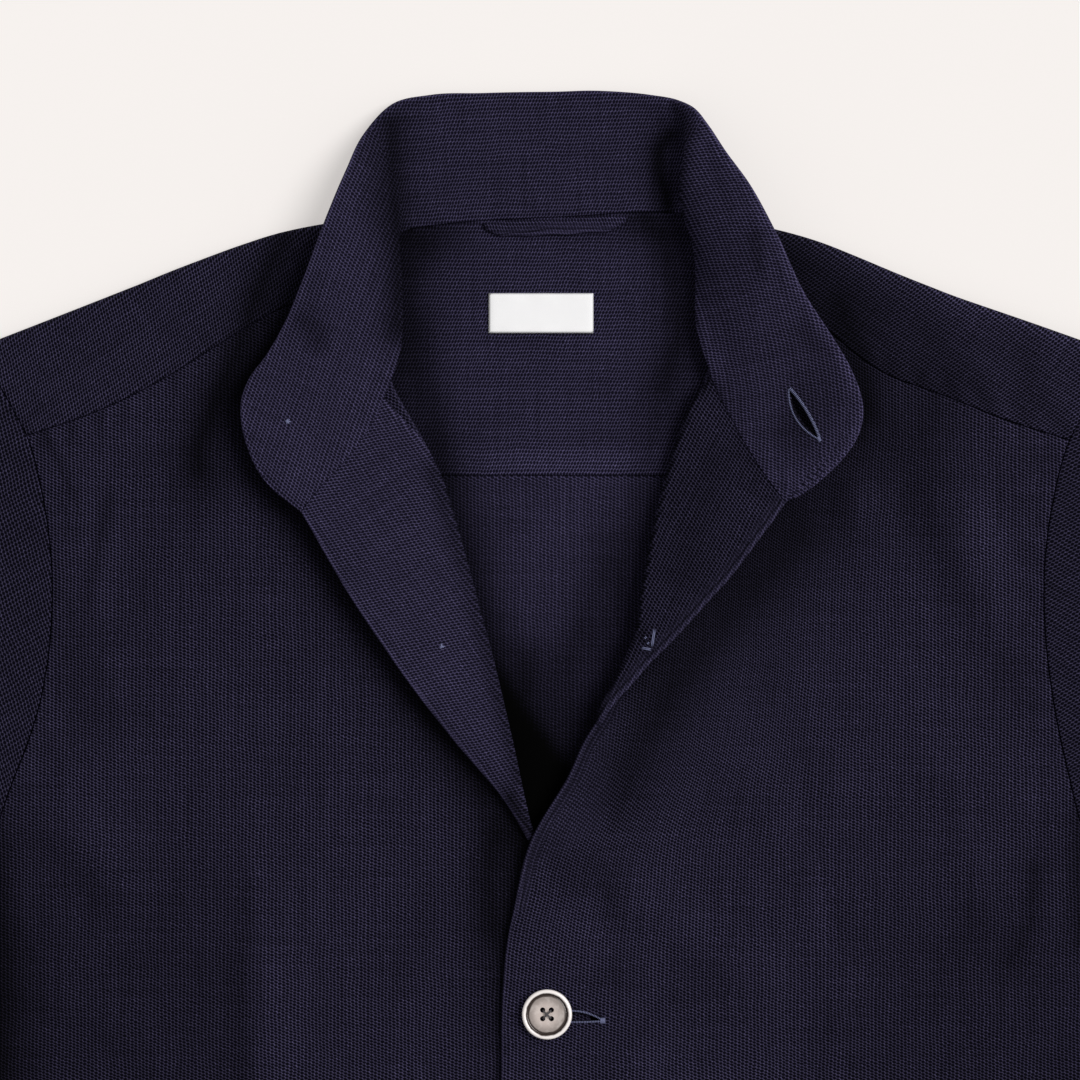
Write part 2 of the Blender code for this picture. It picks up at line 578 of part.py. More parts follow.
def make_label(material):
    (x, y), (width, height) = LABEL_CENTRE, LABEL_SIZE
    level = YOKE_CLOTH + .35 + LABEL_CLOTH / 2
    points = [(x + width * (c / 4 - .5), y + height * (r / 2 - .5), level)
              for r in range(3) for c in range(5)]
    return add_cloth("neck_label", points, grid_faces(3, 5), LABEL_CLOTH, material)


# Buttons --------------------------------------------------------------------------------------

def turned_button():
    """Button mesh on the z = 0 plane: raised rim, dished middle, four thread holes."""
    mesh = bpy.data.meshes.new("button_blank")
    turned = bmesh.new()
    rings = []
    for radius, height in BUTTON_PROFILE:
        ring = []
        for i in range(BUTTON_SIDES):
            angle = 2 * math.pi * i / BUTTON_SIDES
            ring.append(turned.verts.new((radius * math.cos(angle) * MM,
                                          radius * math.sin(angle) * MM, height * MM)))
        rings.append(ring)
    for low, high in zip(rings, rings[1:]):
        for i in range(BUTTON_SIDES):
            j = (i + 1) % BUTTON_SIDES
            turned.faces.new((low[i], low[j], high[j], high[i]))
    turned.faces.new(rings[0][::-1])
    floor = turned.verts.new((0, 0, BUTTON_FLOOR * MM))
    for i in range(BUTTON_SIDES):
        turned.faces.new((rings[-1][i], rings[-1][(i + 1) % BUTTON_SIDES], floor))
    turned.to_mesh(mesh)
    turned.free()
    return mesh


def pierce(blank):
    """The blank with its thread holes cut through, as a new mesh."""
    body = bpy.data.objects.new("button_body", blank)
    bpy.context.scene.collection.objects.link(body)
    drills = []
    for side_x in (-1, 1):
        for side_y in (-1, 1):
            drill_mesh = bpy.data.meshes.new("drill")
            drill = bmesh.new()
            spot = Matrix.Translation((side_x * BUTTON_HOLE_OFFSET * MM,
                                       side_y * BUTTON_HOLE_OFFSET * MM, 0))
            bmesh.ops.create_cone(drill, cap_ends=True, segments=8, depth=4 * BUTTON_THICKNESS * MM,
                                  radius1=BUTTON_HOLE_RADIUS * MM,
                                  radius2=BUTTON_HOLE_RADIUS * MM, matrix=spot)
            drill.to_mesh(drill_mesh)
            drill.free()
            cutter = bpy.data.objects.new("drill", drill_mesh)
            bpy.context.scene.collection.objects.link(cutter)
            drills.append(cutter)
            cut = body.modifiers.new("hole", "BOOLEAN")
            cut.operation = "DIFFERENCE"
            cut.object = cutter
    ready = body.evaluated_get(bpy.context.evaluated_depsgraph_get())
    pierced = bpy.data.meshes.new_from_object(ready)
    for helper in drills + [body]:
        bpy.data.objects.remove(helper, do_unlink=True)
    pierced.set_sharp_from_angle(angle=math.radians(40))
    return pierced


def make_buttons(material):
    """Five buttons: three on the closed front, two under the turned-out collar and lapel."""
    mesh = pierce(turned_button())
    overlap_top = OVERLAP_LEVEL + CLOTH / 2 + .6
    upward = Vector((0, 0, 1))
    places = [("button_collar", COLLAR_BUTTON, COLLAR_BUTTON_LEVEL, Vector(COLLAR_BUTTON_FACE)),
              ("button_lapel", LAPEL_BUTTON, LAPEL_BUTTON_LEVEL, Vector(LAPEL_BUTTON_FACE)),
              ("button_chest", CHEST_BUTTON, overlap_top + .3, upward)]
    for i, name in enumerate(("button_waist", "button_lower")):
        spot = (0, CHEST_BUTTON[1] - FRONT_BUTTON_PITCH * (i + 1))
        places.append((name, spot, overlap_top, upward))
    for name, (x, y), level, face in places:
        piece = add_object(name, mesh, material)
        piece.location = (x * MM, y * MM, level * MM)
        piece.rotation_mode = "QUATERNION"
        piece.rotation_quaternion = upward.rotation_difference(face)


def main():
    for leftover in list(bpy.data.objects):
        bpy.data.objects.remove(leftover, do_unlink=True)
    outside = make_material("navy_cloth", NAVY, .85)
    inside = make_material("navy_cloth_inside", NAVY_INSIDE, .85)
    make_back(inside)
    make_yoke(outside)
    make_front("front_right", RIGHT_FRONT_EDGE, -1, outside)
    make_front("front_left", LEFT_FRONT_EDGE, 1, outside)
    make_lapel("facing_right", RIGHT_LAPEL_ROLL, RIGHT_LAPEL_EDGE, RIGHT_LAPEL_BOW, outside)
    make_lapel("facing_left", LEFT_LAPEL_ROLL, LEFT_LAPEL_EDGE, LEFT_LAPEL_BOW, outside)
    make_collar(outside)
    make_sleeve("sleeve_left", 1, LEFT_SLEEVE_FOLDS, outside)
    make_sleeve("sleeve_right", -1, RIGHT_SLEEVE_FOLDS, outside)
    make_hanger_loop(outside)
    make_label(make_material("label_cloth", LABEL_WHITE, .7))
    make_buttons(make_material("button_shell", BUTTON_GREY, .3, .35))


main()
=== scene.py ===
"""Looks of the stand-collar jacket: finer cloth shells, weave, sewing, buttons, floor and light.

The cloth shells follow the same cut and lay as the solids that they stand for. Tables are in
millimetres in the jacket's own frame: +X to the wearer's left, +Y from the hem to the collar,
+Z up from the table. Meshes are in metres.
"""
import math

import bmesh
import bpy
import numpy as np
from mathutils import Matrix, Vector
from mathutils.bvhtree import BVHTree


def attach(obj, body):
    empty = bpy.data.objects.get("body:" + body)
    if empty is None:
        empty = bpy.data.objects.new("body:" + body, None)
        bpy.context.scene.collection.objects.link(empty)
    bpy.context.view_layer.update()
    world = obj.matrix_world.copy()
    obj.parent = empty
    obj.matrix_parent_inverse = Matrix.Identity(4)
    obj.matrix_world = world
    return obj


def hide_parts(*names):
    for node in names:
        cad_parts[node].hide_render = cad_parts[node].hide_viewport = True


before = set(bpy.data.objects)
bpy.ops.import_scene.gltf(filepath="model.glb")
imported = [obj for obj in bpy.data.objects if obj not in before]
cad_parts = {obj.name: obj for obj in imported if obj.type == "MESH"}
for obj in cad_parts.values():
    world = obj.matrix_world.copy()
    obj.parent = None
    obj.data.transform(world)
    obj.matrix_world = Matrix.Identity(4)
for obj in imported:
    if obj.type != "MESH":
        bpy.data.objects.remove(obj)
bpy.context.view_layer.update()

bl_info = {
    "name": "Stand-collar jacket",
    "version": (1, 0, 0),
    "blender": (4, 5, 0),
    "location": "3D View > Sidebar > Jacket",
    "description": "Cloth, sewing, buttons and studio for a stand-collar jacket laid flat",
    "category": "Object",
}

MM = 0.001

# Cut and lay of the cloth ---------------------

BACK_LEVEL, BACK_WALL = .7, 1.4
YOKE_LEVEL, YOKE_WALL = 1.1, 2.2
YOKE_FOLD_RADIUS = 2.2
CHEST_LEVEL = 4.0
UNDERLAP_LEVEL, OVERLAP_LEVEL = 2.9, 5.3
SIDE_LEVEL = 2.7
YOKE_SEAM_LEVEL = 4.3
SEAM_GAP = .4

HEM_Y, HEM_HALF_WIDTH = -391, 258.0
BACK_YOKE_Y = 226.0
LAP = 19.0
UNDERARM = (264, 24)

ARMHOLE_FRONT = ((228, 277), (217, 258), (208, 241), (202, 218), (198.5, 192), (198.5, 165),
                 (202, 135), (208, 106), (216, 77), (229, 52), (246, 35), UNDERARM)
ARMHOLE_BACK = ((228, 277), (221, 250), (217, 226), (214, 180), (214, 130), (222, 85),
                (240, 48), UNDERARM)
FRONT_STEPS = (0, .02, .07, .143, .23, .33, .43, .53, .63, .73, .83, .92, .98, 1)
BACK_STEPS = (0, .02, .08, .193, .33, .47, .61, .75, .88, .98, 1)
FRONT_YOKE_STEP = BACK_YOKE_STEP = 3

SHOULDER_EDGE = ((228, 277), (180, 295), (139, 311), (112, 321), (88, 326.5), (66, 329))
FRONT_YOKE_SEAM = ((208, 241), (180, 251.5), (154, 264), (128, 280), (103, 294), (68, 306))
SHOULDER_STEPS = (0, .12, .2, .27, .35, .42, .5, .57, .65, .72, .86, 1)

SLEEVE_OUTER = ((230, 278), (262, 262), (305, 237), (350, 203), (388, 163), (418, 115),
                (438, 65), (470, -42), (503, -152), (536, -262))
SLEEVE_INNER = ((267.5, 27.5), (294, -32), (323, -95), (357, -165), (390, -232), (421, -296))
SLEEVE_ROWS = (0, .035, .08, .14, .21, .28, .35, .42, .49, .56, .63, .7, .78, .86, .94, 1)
SLEEVE_LOFT = 2.9
CAP_REACH, UNDERARM_LAG = .3, 1.7
SLEEVE_TURNS = ((0, 52), (.12, 48), (.4, 34), (1, 24))    # lean of the yarns down the sleeve

# Front edges from the hem up to the neck: x, y, level of the wall's middle
RIGHT_FRONT_EDGE = ((LAP, HEM_Y, UNDERLAP_LEVEL), (LAP, -200, UNDERLAP_LEVEL),
                    (LAP, -60, UNDERLAP_LEVEL), (16, 20, UNDERLAP_LEVEL),
                    (6, 58, UNDERLAP_LEVEL), (-9, 88, 3.1), (-16, 128, 4.4), (-28, 176, 5.7),
                    (-44, 228, 7.4), (-62, 262, 7.6), (-66, 282, 5.4), (-68, 306, 4.6))
LEFT_FRONT_EDGE = ((-LAP, HEM_Y, OVERLAP_LEVEL), (-LAP, -200, OVERLAP_LEVEL),
                   (-LAP, -60, OVERLAP_LEVEL), (-18, 22, 5.5),
                   (-13, 56, 6.6), (-7, 80, 8), (7.4, 104.8, 9.3), (13.4, 118.2, 10),
                   (19.8, 128.8, 10.4), (23.8, 136.8, 10.6), (27.8, 143.2, 10.7),
                   (34, 156.6, 10.8), (37.8, 166.6, 10.2), (39.6, 182, 8.6), (46.8, 218, 6.8),
                   (62, 262, 6.4), (66, 282, 5.2), (68, 306, 4.6))
ROLL_REACH, SEAM_REACH = 34, 22.0
HEM_ROWS = 14

# Lapels: roll line and outer edge, x, y, level
RIGHT_LAPEL_ROLL = ((-5.5, 81, 5.3), (-9.5, 98, 6.3), (-16, 128, 8.1), (-28, 176, 9.8),
                    (-43.5, 228, 10.3), (-63.2, 257.4, 10.3))
RIGHT_LAPEL_EDGE = ((-8, 80, 5.3), (-19, 98, 7.6), (-39, 122, 11.2), (-59, 150, 14.1),
                    (-79, 180, 15.1), (-96.9, 211, 15.3))
LEFT_LAPEL_ROLL = ((19.6, 127.6, 12.6), (22.8, 136.4, 13), (26.7, 142.6, 13.1),
                   (32.9, 156.3, 13.1), (36.6, 166.2, 12.8), (38.4, 181, 11.3),
                   (45.6, 217, 9.3), (56, 250, 9), (65.1, 266.4, 9.4))
LEFT_LAPEL_EDGE = ((21.2, 126.6, 12.6), (25.9, 134.4, 13.3), (33.3, 142.4, 14.2),
                   (40.1, 150.5, 15), (47.6, 158, 16), (56.3, 167.3, 17.2),
                   (65.1, 177.3, 18.2), (72.6, 185.5, 18.8), (84.8, 201.4, 18.6),
                   (94, 212.4, 17.6))
# How far the lapels' upper seams curve away from the collar
RIGHT_LAPEL_BOW, LEFT_LAPEL_BOW = 1.7, -3.0
FACING_WALL = 2.0

# Collar from the wearer's right end to the left end: seam, top edge and crown, each x, y, level
COLLAR_STATIONS = (
    ((-98, 211, 15.4), (-107.2, 218, 15.6), (0, 0, 0)),
    ((-96.9, 213.2, 15.2), (-114.4, 226, 16), (0, 0, .2)),
    ((-93.8, 217.2, 14.8), (-118.4, 234, 16.4), (0, 0, .5)),
    ((-90.2, 221.6, 14.2), (-121.2, 243.2, 16.8), (0, 0, .8)),
    ((-84.6, 227.6, 13.2), (-122, 254, 17.2), (0, 0, 1.2)),
    ((-78.8, 234.4, 12.4), (-119.2, 263, 17.6), (0, 0, 1.6)),
    ((-71.4, 245.2, 11.4), (-112, 273, 18), (0, 0, 2.4)),
    ((-64.6, 259.8, 10.2), (-104.5, 286, 18.6), (0, 0, 3.6)),
    ((-59.5, 276, 7.8), (-96.5, 305, 19.4), (0, 0, 4.6)),
    ((-59, 296, 6), (-87.5, 329, 20.4), (2, 0, 4.2)),
    ((-60, 310, 5), (-80, 347, 18.6), (3, 0, 2.2)),
    ((-61, 320, 4.3), (-73, 362, 12.6), (3, 0, -.4)),
    ((-57, 323.8, 3.7), (-64, 373, 6.4), (1, 0, -1.4)),
    ((-42, 326.6, 1.6), (-47, 378.2, 3), (0, 0, 0)),
    ((-27, 327.9, 1.6), (-27, 379, 2.2), (0, 0, 0)),
    ((-11, 328.7, 1.6), (-12, 379.4, 2), (0, 0, 0)),
    ((5, 329.4, 1.6), (4, 379.6, 2), (0, 0, 0)),
    ((19, 330.3, 1.6), (17, 380, 2), (0, 0, 0)),
    ((33, 331.2, 1.6), (30, 379.4, 2.4), (0, 0, 0)),
    ((47, 331.4, 1.6), (42, 378, 3.4), (2, 0, -.6)),
    ((56, 330.6, 3.7), (51, 375.9, 6.6), (4, 0, -1.6)),
    ((60.5, 328, 4.3), (57.5, 372.4, 12.6), (-4, 0, 1)),
    ((62, 322, 5), (63.2, 365, 18.4), (-9, 0, 2.2)),
    ((62.5, 313, 5.8), (70.2, 354, 21.8), (-7, 0, 3)),
    ((61.5, 300, 6.6), (79.9, 340.4, 23.4), (-3, 0, 4.1)),
    ((61.5, 285, 7.8), (90.6, 320.6, 23.6), (0, 0, 4.5)),
    ((66.2, 268.6, 9.4), (101.6, 297.2, 22.6), (0, 0, 3.8)),
    ((70.2, 256.8, 11.2), (112.8, 280, 21.4), (0, 0, 2.6)),
    ((74.6, 245.8, 13), (120.6, 266.5, 20.2), (0, 0, 1.6)),
    ((80.2, 235.4, 15), (124.8, 253, 19.4), (0, 0, 1.2)),
    ((85.4, 227, 16.6), (123.6, 243, 19), (0, 0, .8)),
    ((89.6, 220.9, 17.4), (119.2, 235, 18.7), (0, 0, .5)),
    ((92.2, 217.4, 17.7), (113.4, 228.4, 18.4), (0, 0, .2)),
    ((94.2, 214.9, 17.8), (104.4, 220.6, 18.1), (0, 0, 0)),
)
# Lean of the yarns at a station: the wearer's right end, the back and the left end
COLLAR_TURNS = (((0, 161), (11, 160)), ((12, 95), (14, 92), (20, 91)),
                ((20, 30), (24, 24), (26, 13), (29, 0), (33, -4)))
COLLAR_BREAKS = (11.5, 20.7)    # stations where the collar breaks over
COLLAR_WALL = 2.4
NECK_STATIONS = range(12, 21)

# The jacket lies a little askew: centre (x, y), reach (x, y) and shift (x, y) of the cloth there
SETTLE = (
    ((145, 318), (58, 90), (0, -3.9)), ((225, 290), (45, 80), (0, -1.8)),
    ((126, 276), (30, 18), (0, -6.4)), ((-155, 310), (60, 60), (0, 1.2)),
    ((-214, 84), (40, 38), (-7, 0)),
)

# Soft folds: from (x, y) to (x, y), sideways bow, width, height of the ridge
FRONT_FOLDS = (
    ((-199, 242), (-184, 176), 3, 10, 1.7), ((-183, 226), (-172, 160), -2, 11, -1.2),
    ((150, 236), (190, 158), -3, 15, 2.2), ((178, 216), (200, 176), 2, 10, -1.2),
    ((123, 224), (121, 204), 0, 9, 1.3), ((-140, 250), (-126, 160), 4, 20, .9),
    ((-117, 66), (-117, -130), 2, 10, 1.1), ((119, 70), (119, -100), -2, 10, 1.1),
    ((-224, 98), (-168, 58), 3, 13, 1.6), ((-217, 50), (-216, -120), -3, 13, -1),
    ((222, 84), (166, 34), 2, 13, 1.7), ((240, 30), (205, -60), 4, 14, 1.2),
    ((32, 52), (88, 22), 2, 12, 1), ((30, -8), (78, -60), -3, 13, .9),
    ((-30, 40), (-92, 8), 3, 13, .9), ((-214, -150), (-150, -350), 6, 24, 1.9),
    ((-150, -120), (-96, -330), -5, 20, -1), ((-78, -190), (-58, -391), 3, 20, 1.5),
    ((66, -170), (98, -391), -4, 22, 1.6), ((150, -200), (140, -391), 3, 20, -1),
    ((188, -110), (218, -340), 5, 22, 1.8),
)
FINE_FRONT_FOLDS = (
    ((-186, 196), (-170, 120), 4, 8, .5), ((-150, 210), (-148, 110), -5, 12, .45),
    ((-96, 150), (-104, 40), 5, 14, .4), ((-60, 96), (-84, -20), 6, 13, -.4),
    ((-212, 20), (-150, -12), 4, 9, .6), ((-205, -22), (-140, -30), -3, 10, .5),
    ((96, 180), (120, 90), -6, 13, .45), ((150, 120), (176, 40), 5, 11, .5),
    ((60, 120), (96, 66), 4, 12, .4), ((206, 10), (150, -24), -3, 9, .55),
    ((214, -40), (140, -46), 3, 11, .45), ((20, 26), (64, 40), 2, 7, .45),
    ((22, -4), (60, -22), -2, 8, .4), ((-40, -60), (-120, -90), 5, 16, .5),
    ((40, -110), (110, -150), -6, 15, .5), ((-226, -200), (-120, -180), 8, 14, .6),
    ((226, -210), (120, -230), -7, 13, .6), ((-36, -240), (-150, -290), 6, 15, .5),
    ((48, -300), (170, -280), 8, 14, .5),
)
LEFT_SLEEVE_FOLDS = (
    ((246, 66), (338, 112), 5, 15, 1.3), ((276, 24), (370, 46), -4, 14, 1.3),
    ((232, 160), (330, 186), 6, 22, .9), ((316, 226), (366, 70), -5, 20, 1),
    ((338, -105), (430, -58), 5, 13, 1.5), ((346, -142), (446, -130), -4, 14, 1.3),
    ((404, -10), (476, -112), 6, 16, 1.1), ((392, -200), (470, -226), 4, 14, 1),
    ((226, 120), (252, 70), 3, 9, .8), ((300, -20), (392, 10), 5, 11, .8),
    ((420, -150), (500, -196), -5, 12, .8),
)
RIGHT_SLEEVE_FOLDS = (
    ((242, 72), (330, 130), 6, 16, 1.3), ((280, 16), (360, 22), -4, 13, 1.2),
    ((228, 178), (322, 176), 5, 22, .8), ((322, 216), (362, 48), -6, 22, 1.1),
    ((332, -88), (416, -24), 5, 13, 1.5), ((352, -152), (456, -112), -5, 15, 1.4),
    ((414, -56), (470, -150), 6, 15, 1), ((404, -214), (486, -232), 3, 13, 1),
    ((222, 130), (250, 84), -3, 9, .8), ((306, -34), (404, -4), -5, 11, .8),
    ((440, -120), (508, -180), 4, 12, .7),
)

LOOP_TOP_HALF, LOOP_FOOT_HALF = 29.4, 21.4
LOOP_CENTRE_X, LOOP_TOP_Y, LOOP_WIDTH = 3, 328.2, 5.9
LOOP_SLOPE, LOOP_SAG = .05, .4
LABEL_CENTRE, LABEL_SIZE = (-2.8, 290.8), (42, 16)

SPAN_POINTS = 24            # points between two knots of a curve
FINE_STEP = 2.0             # distance between points in the small pieces
# Spacing of the points beside a finished edge and beside a seam, along the cloth
EDGE_SPACING = (0, .12, .35, .7, 1.1, 1.6, 2, 2.3, 2.6, 3.1, 3.9, 5, 6.4, 8.4)
SEAM_SPACING = (0, .12, .35, .8, 1.6, 3)
SEAM_ENDS = (SEAM_SPACING, SEAM_SPACING)
TUCKED_SPACING = (0, .8, 1.6, 2.4)      # beside a facing's hidden edge
SHORT_LINE = 2.2            # close points are squeezed on lines shorter than this many times them
STITCH_DISTANCE = 5.6       # end of the pressed band beside a finished edge
RIM = 2.3                   # width of the corded rim
PLAIN_RIM = 1.6             # edge distance that the whole of an uncorded rim is given
# Rim, groove and pressed band beside a finished edge: rise, distance, width
STITCH_RELIEF = ((.22, 1, .8), (-.34, RIM, .5), (.06, 3.8, 1.2))
SEAM_ROLL, SEAM_CREASE, SEAM_TURN = .38, .24, 2.2

BACK_FOLDS = (
    ((-150, 190), (-40, 120), 8, 26, .5), ((40, 210), (120, 130), -8, 24, .4),
    ((-30, 200), (10, 60), 6, 22, .45),
)
YOKE_FOLDS = (
    ((-205, 262), (-186, 236), 2, 9, .6), ((-150, 300), (-120, 282), -2, 12, .5),
    ((150, 292), (178, 256), 3, 12, .7), ((196, 280), (206, 246), -2, 9, .6),
)
COLLAR_FOLDS = (
    ((-52, 360), (-44, 334), 2, 8, .5), ((-96, 300), (-70, 286), 3, 12, -.7),
    ((-112, 262), (-84, 246), -2, 13, .6), ((-20, 366), (14, 340), 4, 16, .35),
    ((70, 330), (86, 300), 3, 12, -.6), ((98, 286), (84, 262), -3, 13, .6),
    ((112, 246), (96, 230), 2, 9, -.5),
)

# Painted shadows that darken the cloth's colour beside raised edges and in hollows: outline, depth,
# reach
COLLAR_SHADOWS = (
    (((-63, 366), (-62, 336), (-60.5, 312), (-60.8, 284)), .8, 9),
    (((97.3, 254.5), (99.1, 248.6), (103.2, 243.5)), .55, 1.6),
    (((49, 362), (44.4, 357), (44.2, 348), (48, 334)), .88, 6),
    (((-74, 366), (-70, 346), (-68, 326)), .28, 8),
    (((82, 320), (83.6, 308)), .45, 4),
    (((100.8, 282), (106.8, 276)), .35, 5),
)
NECK_SHADOWS = (
    (((-57, 320.5), (-49, 317.5)), .7, 8),
    (((12, 329), (30, 327), (52, 322)), .35, 7),
    (((-50, 284), (-46, 258), (-41, 234)), .35, 6),
    (((38, 331), (46, 320), (51, 300), (52, 282), (46, 262)), .72, 8.5),
    (((44, 250), (37, 224), (32, 200), (28, 178), (20, 160)), .4, 8),
    (((-56, 308), (-54.4, 272), (-47.2, 244), (-34.4, 200), (-24, 160), (-14.4, 128)), .5, 8),
    (((24, 190), (16, 172), (8, 152)), .45, 12),
    (((-9, 152), (-8, 140)), .5, 6),
)
RIGHT_SHADOWS = (
    (((-104, 322), (-112, 308), (-117.5, 296), (-121, 284), (-128, 268), (-135, 250),
      (-140, 238), (-140, 228)), .72, 8),
    (((-107, 281), (-114, 271), (-122, 261)), .7, 3.5),
    (((-134, 258), (-139, 238), (-134, 222)), .3, 8),
    (((-221, 96), (-218.5, 40), (-218.5, -10), (-222, -60)), .5, 6),
    (((-222, 70), (-219, 20), (-221, -100)), .4, 9),
    (((-221, 40), (-224, -160)), .3, 14),
    (((-50, 44), (-42, 16)), .2, 14),
    (((-53.2, 136), (-39.2, 118), (-25.2, 98)), .4, 6),
    (((-21.6, 83.2), (-25, 64), (-23.2, 44)), .66, 9),
    (((-214.4, 224), (-209.6, 200), (-206, 160)), .5, 5),
    (((-176, 216.8), (-180, 195.6), (-183.2, 176)), .35, 3),
    (((-201.2, 244), (-194.8, 230), (-189.2, 217.2)), .4, 1.5),
)
LEFT_SHADOWS = (
    (((100.8, 200), (80, 178), (62, 157), (50, 138), (40, 120), (28, 98)), .47, 14),
    (((0, 76), (10, 62)), .28, 6),
    (((52, 146), (40, 128), (30, 108)), .3, 10),
    (((116, 296), (122, 280), (128, 264), (129, 250)), .55, 4.5),
    (((214, 90), (212, 66), (214, 40)), .6, 6),
    (((156.8, 256), (148.8, 240), (158.8, 224)), .38, 16),
    (((16.8, 72.8), (25.6, 54)), .35, 6),
    (((33.6, -.4), (49.2, 17.2)), .2, 6),
    (((195.2, 68), (192.8, 48), (186.4, 32.8)), .4, 5),
    (((116.4, 54.8), (116.4, 37.2)), .3, 1.5),
)

# Painted shadows on the lapels: outline, depth, reach
RIGHT_LAPEL_SHADOWS = (
    (((-46, 228), (-38, 206), (-29, 176), (-22, 148), (-17, 126), (-12, 104)), .6, 4),
    (((-47, 132), (-36, 117), (-23, 99)), .4, 4),
    (((-15, 97), (-8, 84)), .8, 5),
)
LEFT_LAPEL_SHADOWS = (
    (((68, 262), (78, 238), (90, 219)), .15, 6),
    (((66, 232), (60, 208), (55, 186)), .25, 8),
    (((38, 163), (40, 157)), .5, 2.5),
)

# Broad patches of painted light and shade on the cloth's colour: from, to, bow, width, change of
# light
FRONT_LIGHT_PATCHES = (
    ((-196, 200), (-184, 120), 2, 12, -.25), ((190, 190), (176, 120), 2, 12, -.2),
    ((20, 30), (34, 16), 1, 7, -.3), ((8, 54), (24, 28), 0, 8, .25),
    ((110, 74), (111, 20), 0, 6, .22), ((122, 34), (122, 16), 0, 4, .2),
    ((-192, 200), (-186, 172), 0, 8, .3), ((-180, 158), (-176, 134), 0, 9, .2),
)
YOKE_LIGHT_PATCHES = (
    ((-120, 300), (-100, 286), 1, 12, -.3),
)
COLLAR_LIGHT_PATCHES = (
    ((-100, 291), (-90, 274), 1, 5.5, -.6), ((58, 368), (60, 300), -2, 7, .3),
    ((57, 374), (60, 352), 0, 6, .3), ((60, 300), (66, 264), 1, 6, .3),
    ((108, 268), (96, 238), 0, 13, -.42), ((90, 246), (104, 232), 0, 8, -.25),
)
SLEEVE_LIGHT_PATCHES = (
    ((-216, 86), (-214, 0), 2, 12, -.5), ((216, 86), (214, 0), 2, 12, -.5),
)

LOOP_WALL, LABEL_WALL = 1.2, .5

# Painted shade round the opening: dark in its V, and black past a slanting line in the hole at its
# foot
V_SHADE_DEPTH, V_TO_FULL, V_WIDTH = .68, (172, 118), 40
HOLE_POINT, HOLE_WAY, HOLE_FADE = (-10, 130.8), (-.803, -.595), (-7, 1)
# Brightness of the yoke's inside and of the band along its edge, and where that band ends
YOKE_LIGHT, YOKE_BAND_LIGHT, YOKE_BAND = 1.09, .28, (12.5, 11)
YOKE_DIP, YOKE_LIFT, YOKE_DIP_WIDTH = .24, .32, 4.5     # along the yoke's own edge
# painted light: the left front's colour is lightened and the sleeves' colour darkened
LEFT_FRONT_LIGHT, SLEEVE_LIGHT = 1.045, .82
SIDE_DEPTH, SIDE_X, SIDE_Y = .26, (115, 122), (112, 20)     # shade down the sides of the fronts
# Where a front lies under or over the other one: from none to full, in x and in y
UNDERLAP_X, UNDERLAP_Y = (-62, -24), (110, 70)
OVERLAP_X, OVERLAP_Y = (52, 24), (150, 60)
# Degrees: lean of the shoulder's tip and of its yarns, turns round its fold and round a roll
TIP_LEAN, SHOULDER_GRAIN = 20, 55
SHOULDER_TURNS = (-90, -65, -40, -15, 15, 40, 65, 90)
ROLL_TURNS = (70, 45, 20, -5, -30, -55, -80)

FAR = 50.0                  # stands for the distance from a finished edge where there is none
CLEAR = .02                 # the undersides stay this far above the table
SEAM_CREVICE = .1           # what is left open between the lapels' upper seams and the collar
PRESSED = 5.0               # edge distance of cloth that lies pressed smooth
# Width of the smooth band beside the left front's turned edge, by height of y
TURNED_BAND = ((62, 0), (74, 15), (82.8, 24), (93.3, 22), (118.4, 12.6), (136, 6), (150, 0))
LIP, LIP_WALL = 3.2, .34    # seam allowance that shows as the ground of a seam's groove
SLOPE_LIGHT_CONTRAST = 1.6         # painted light: how much lighter or darker a slope toward or away from the light is painted
SHADE_LIMITS = (.45, 1.5)   # darkest and brightest that the painted light on a slope can make the colour
SHADOW_FALL = 1.4           # how fast a painted shadow fades away from its line

# Turned profile of a button: radius and height from the middle of the underside, in metres
BUTTON_PROFILE = tuple((r * MM, h * MM) for r, h in (
    (6.4, 0), (7.6, .12), (8.9, .62), (9.7, 1.3), (10, 1.9), (9.93, 2.35), (9.7, 2.72),
    (9.4, 2.93), (9.05, 3), (8.7, 2.93), (8.4, 2.7), (8.15, 2.35), (7.95, 2), (7.7, 1.9),
    (7.35, 2.02), (6.8, 2.1), (5.2, 1.92), (3.8, 1.76), (2, 1.66), (.6, 1.62)))
GROOVE_RADIUS = 7.8 * MM
BUTTON_HOLE_RADIUS, BUTTON_HOLE_OFFSET = 1.05 * MM, 1.74 * MM
# Buttons: solid, middle, level and way that the face looks
BUTTONS = (("button_collar", (-103.2, 247.2), 14.2, (-.09, .03, -1)),
           ("button_lapel", (-43.4, 157.6), 10, (-.09, 0, -1)),
           ("button_chest", (-.4, 10.8), 7, (0, 0, 1)),
           ("button_waist", (0, -139.2), 6.7, (0, 0, 1)),
           ("button_lower", (0, -289.2), 6.7, (0, 0, 1)))

# Buttonholes: ends and, on the front, how far they gape; marks of the hidden buttons
COLLAR_HOLE = ((95.6, 259.6), (107, 240.3))
FRONT_SLITS = (("buttonhole_chest", (-1.5, 8.2), (21.4, 8), 3.6),
               ("buttonhole_waist", (-1.5, -139.6), (21.4, -139.4), 2.6),
               ("buttonhole_lower", (-1.5, -289.6), (21.4, -289.4), 2.2))
COLLAR_MARK, LAPEL_MARK = (-103.2, 247.2), (-42.4, 157.6)
THREAD_SIDES, STITCH_PITCH = 6, .62
# A thread of the bar at a buttonhole's end: share of its half length, height over the cloth
TACK_PROFILE = ((-1.1, -.15), (-1, .12), (0, .32), (1, .12), (1.1, -.15))
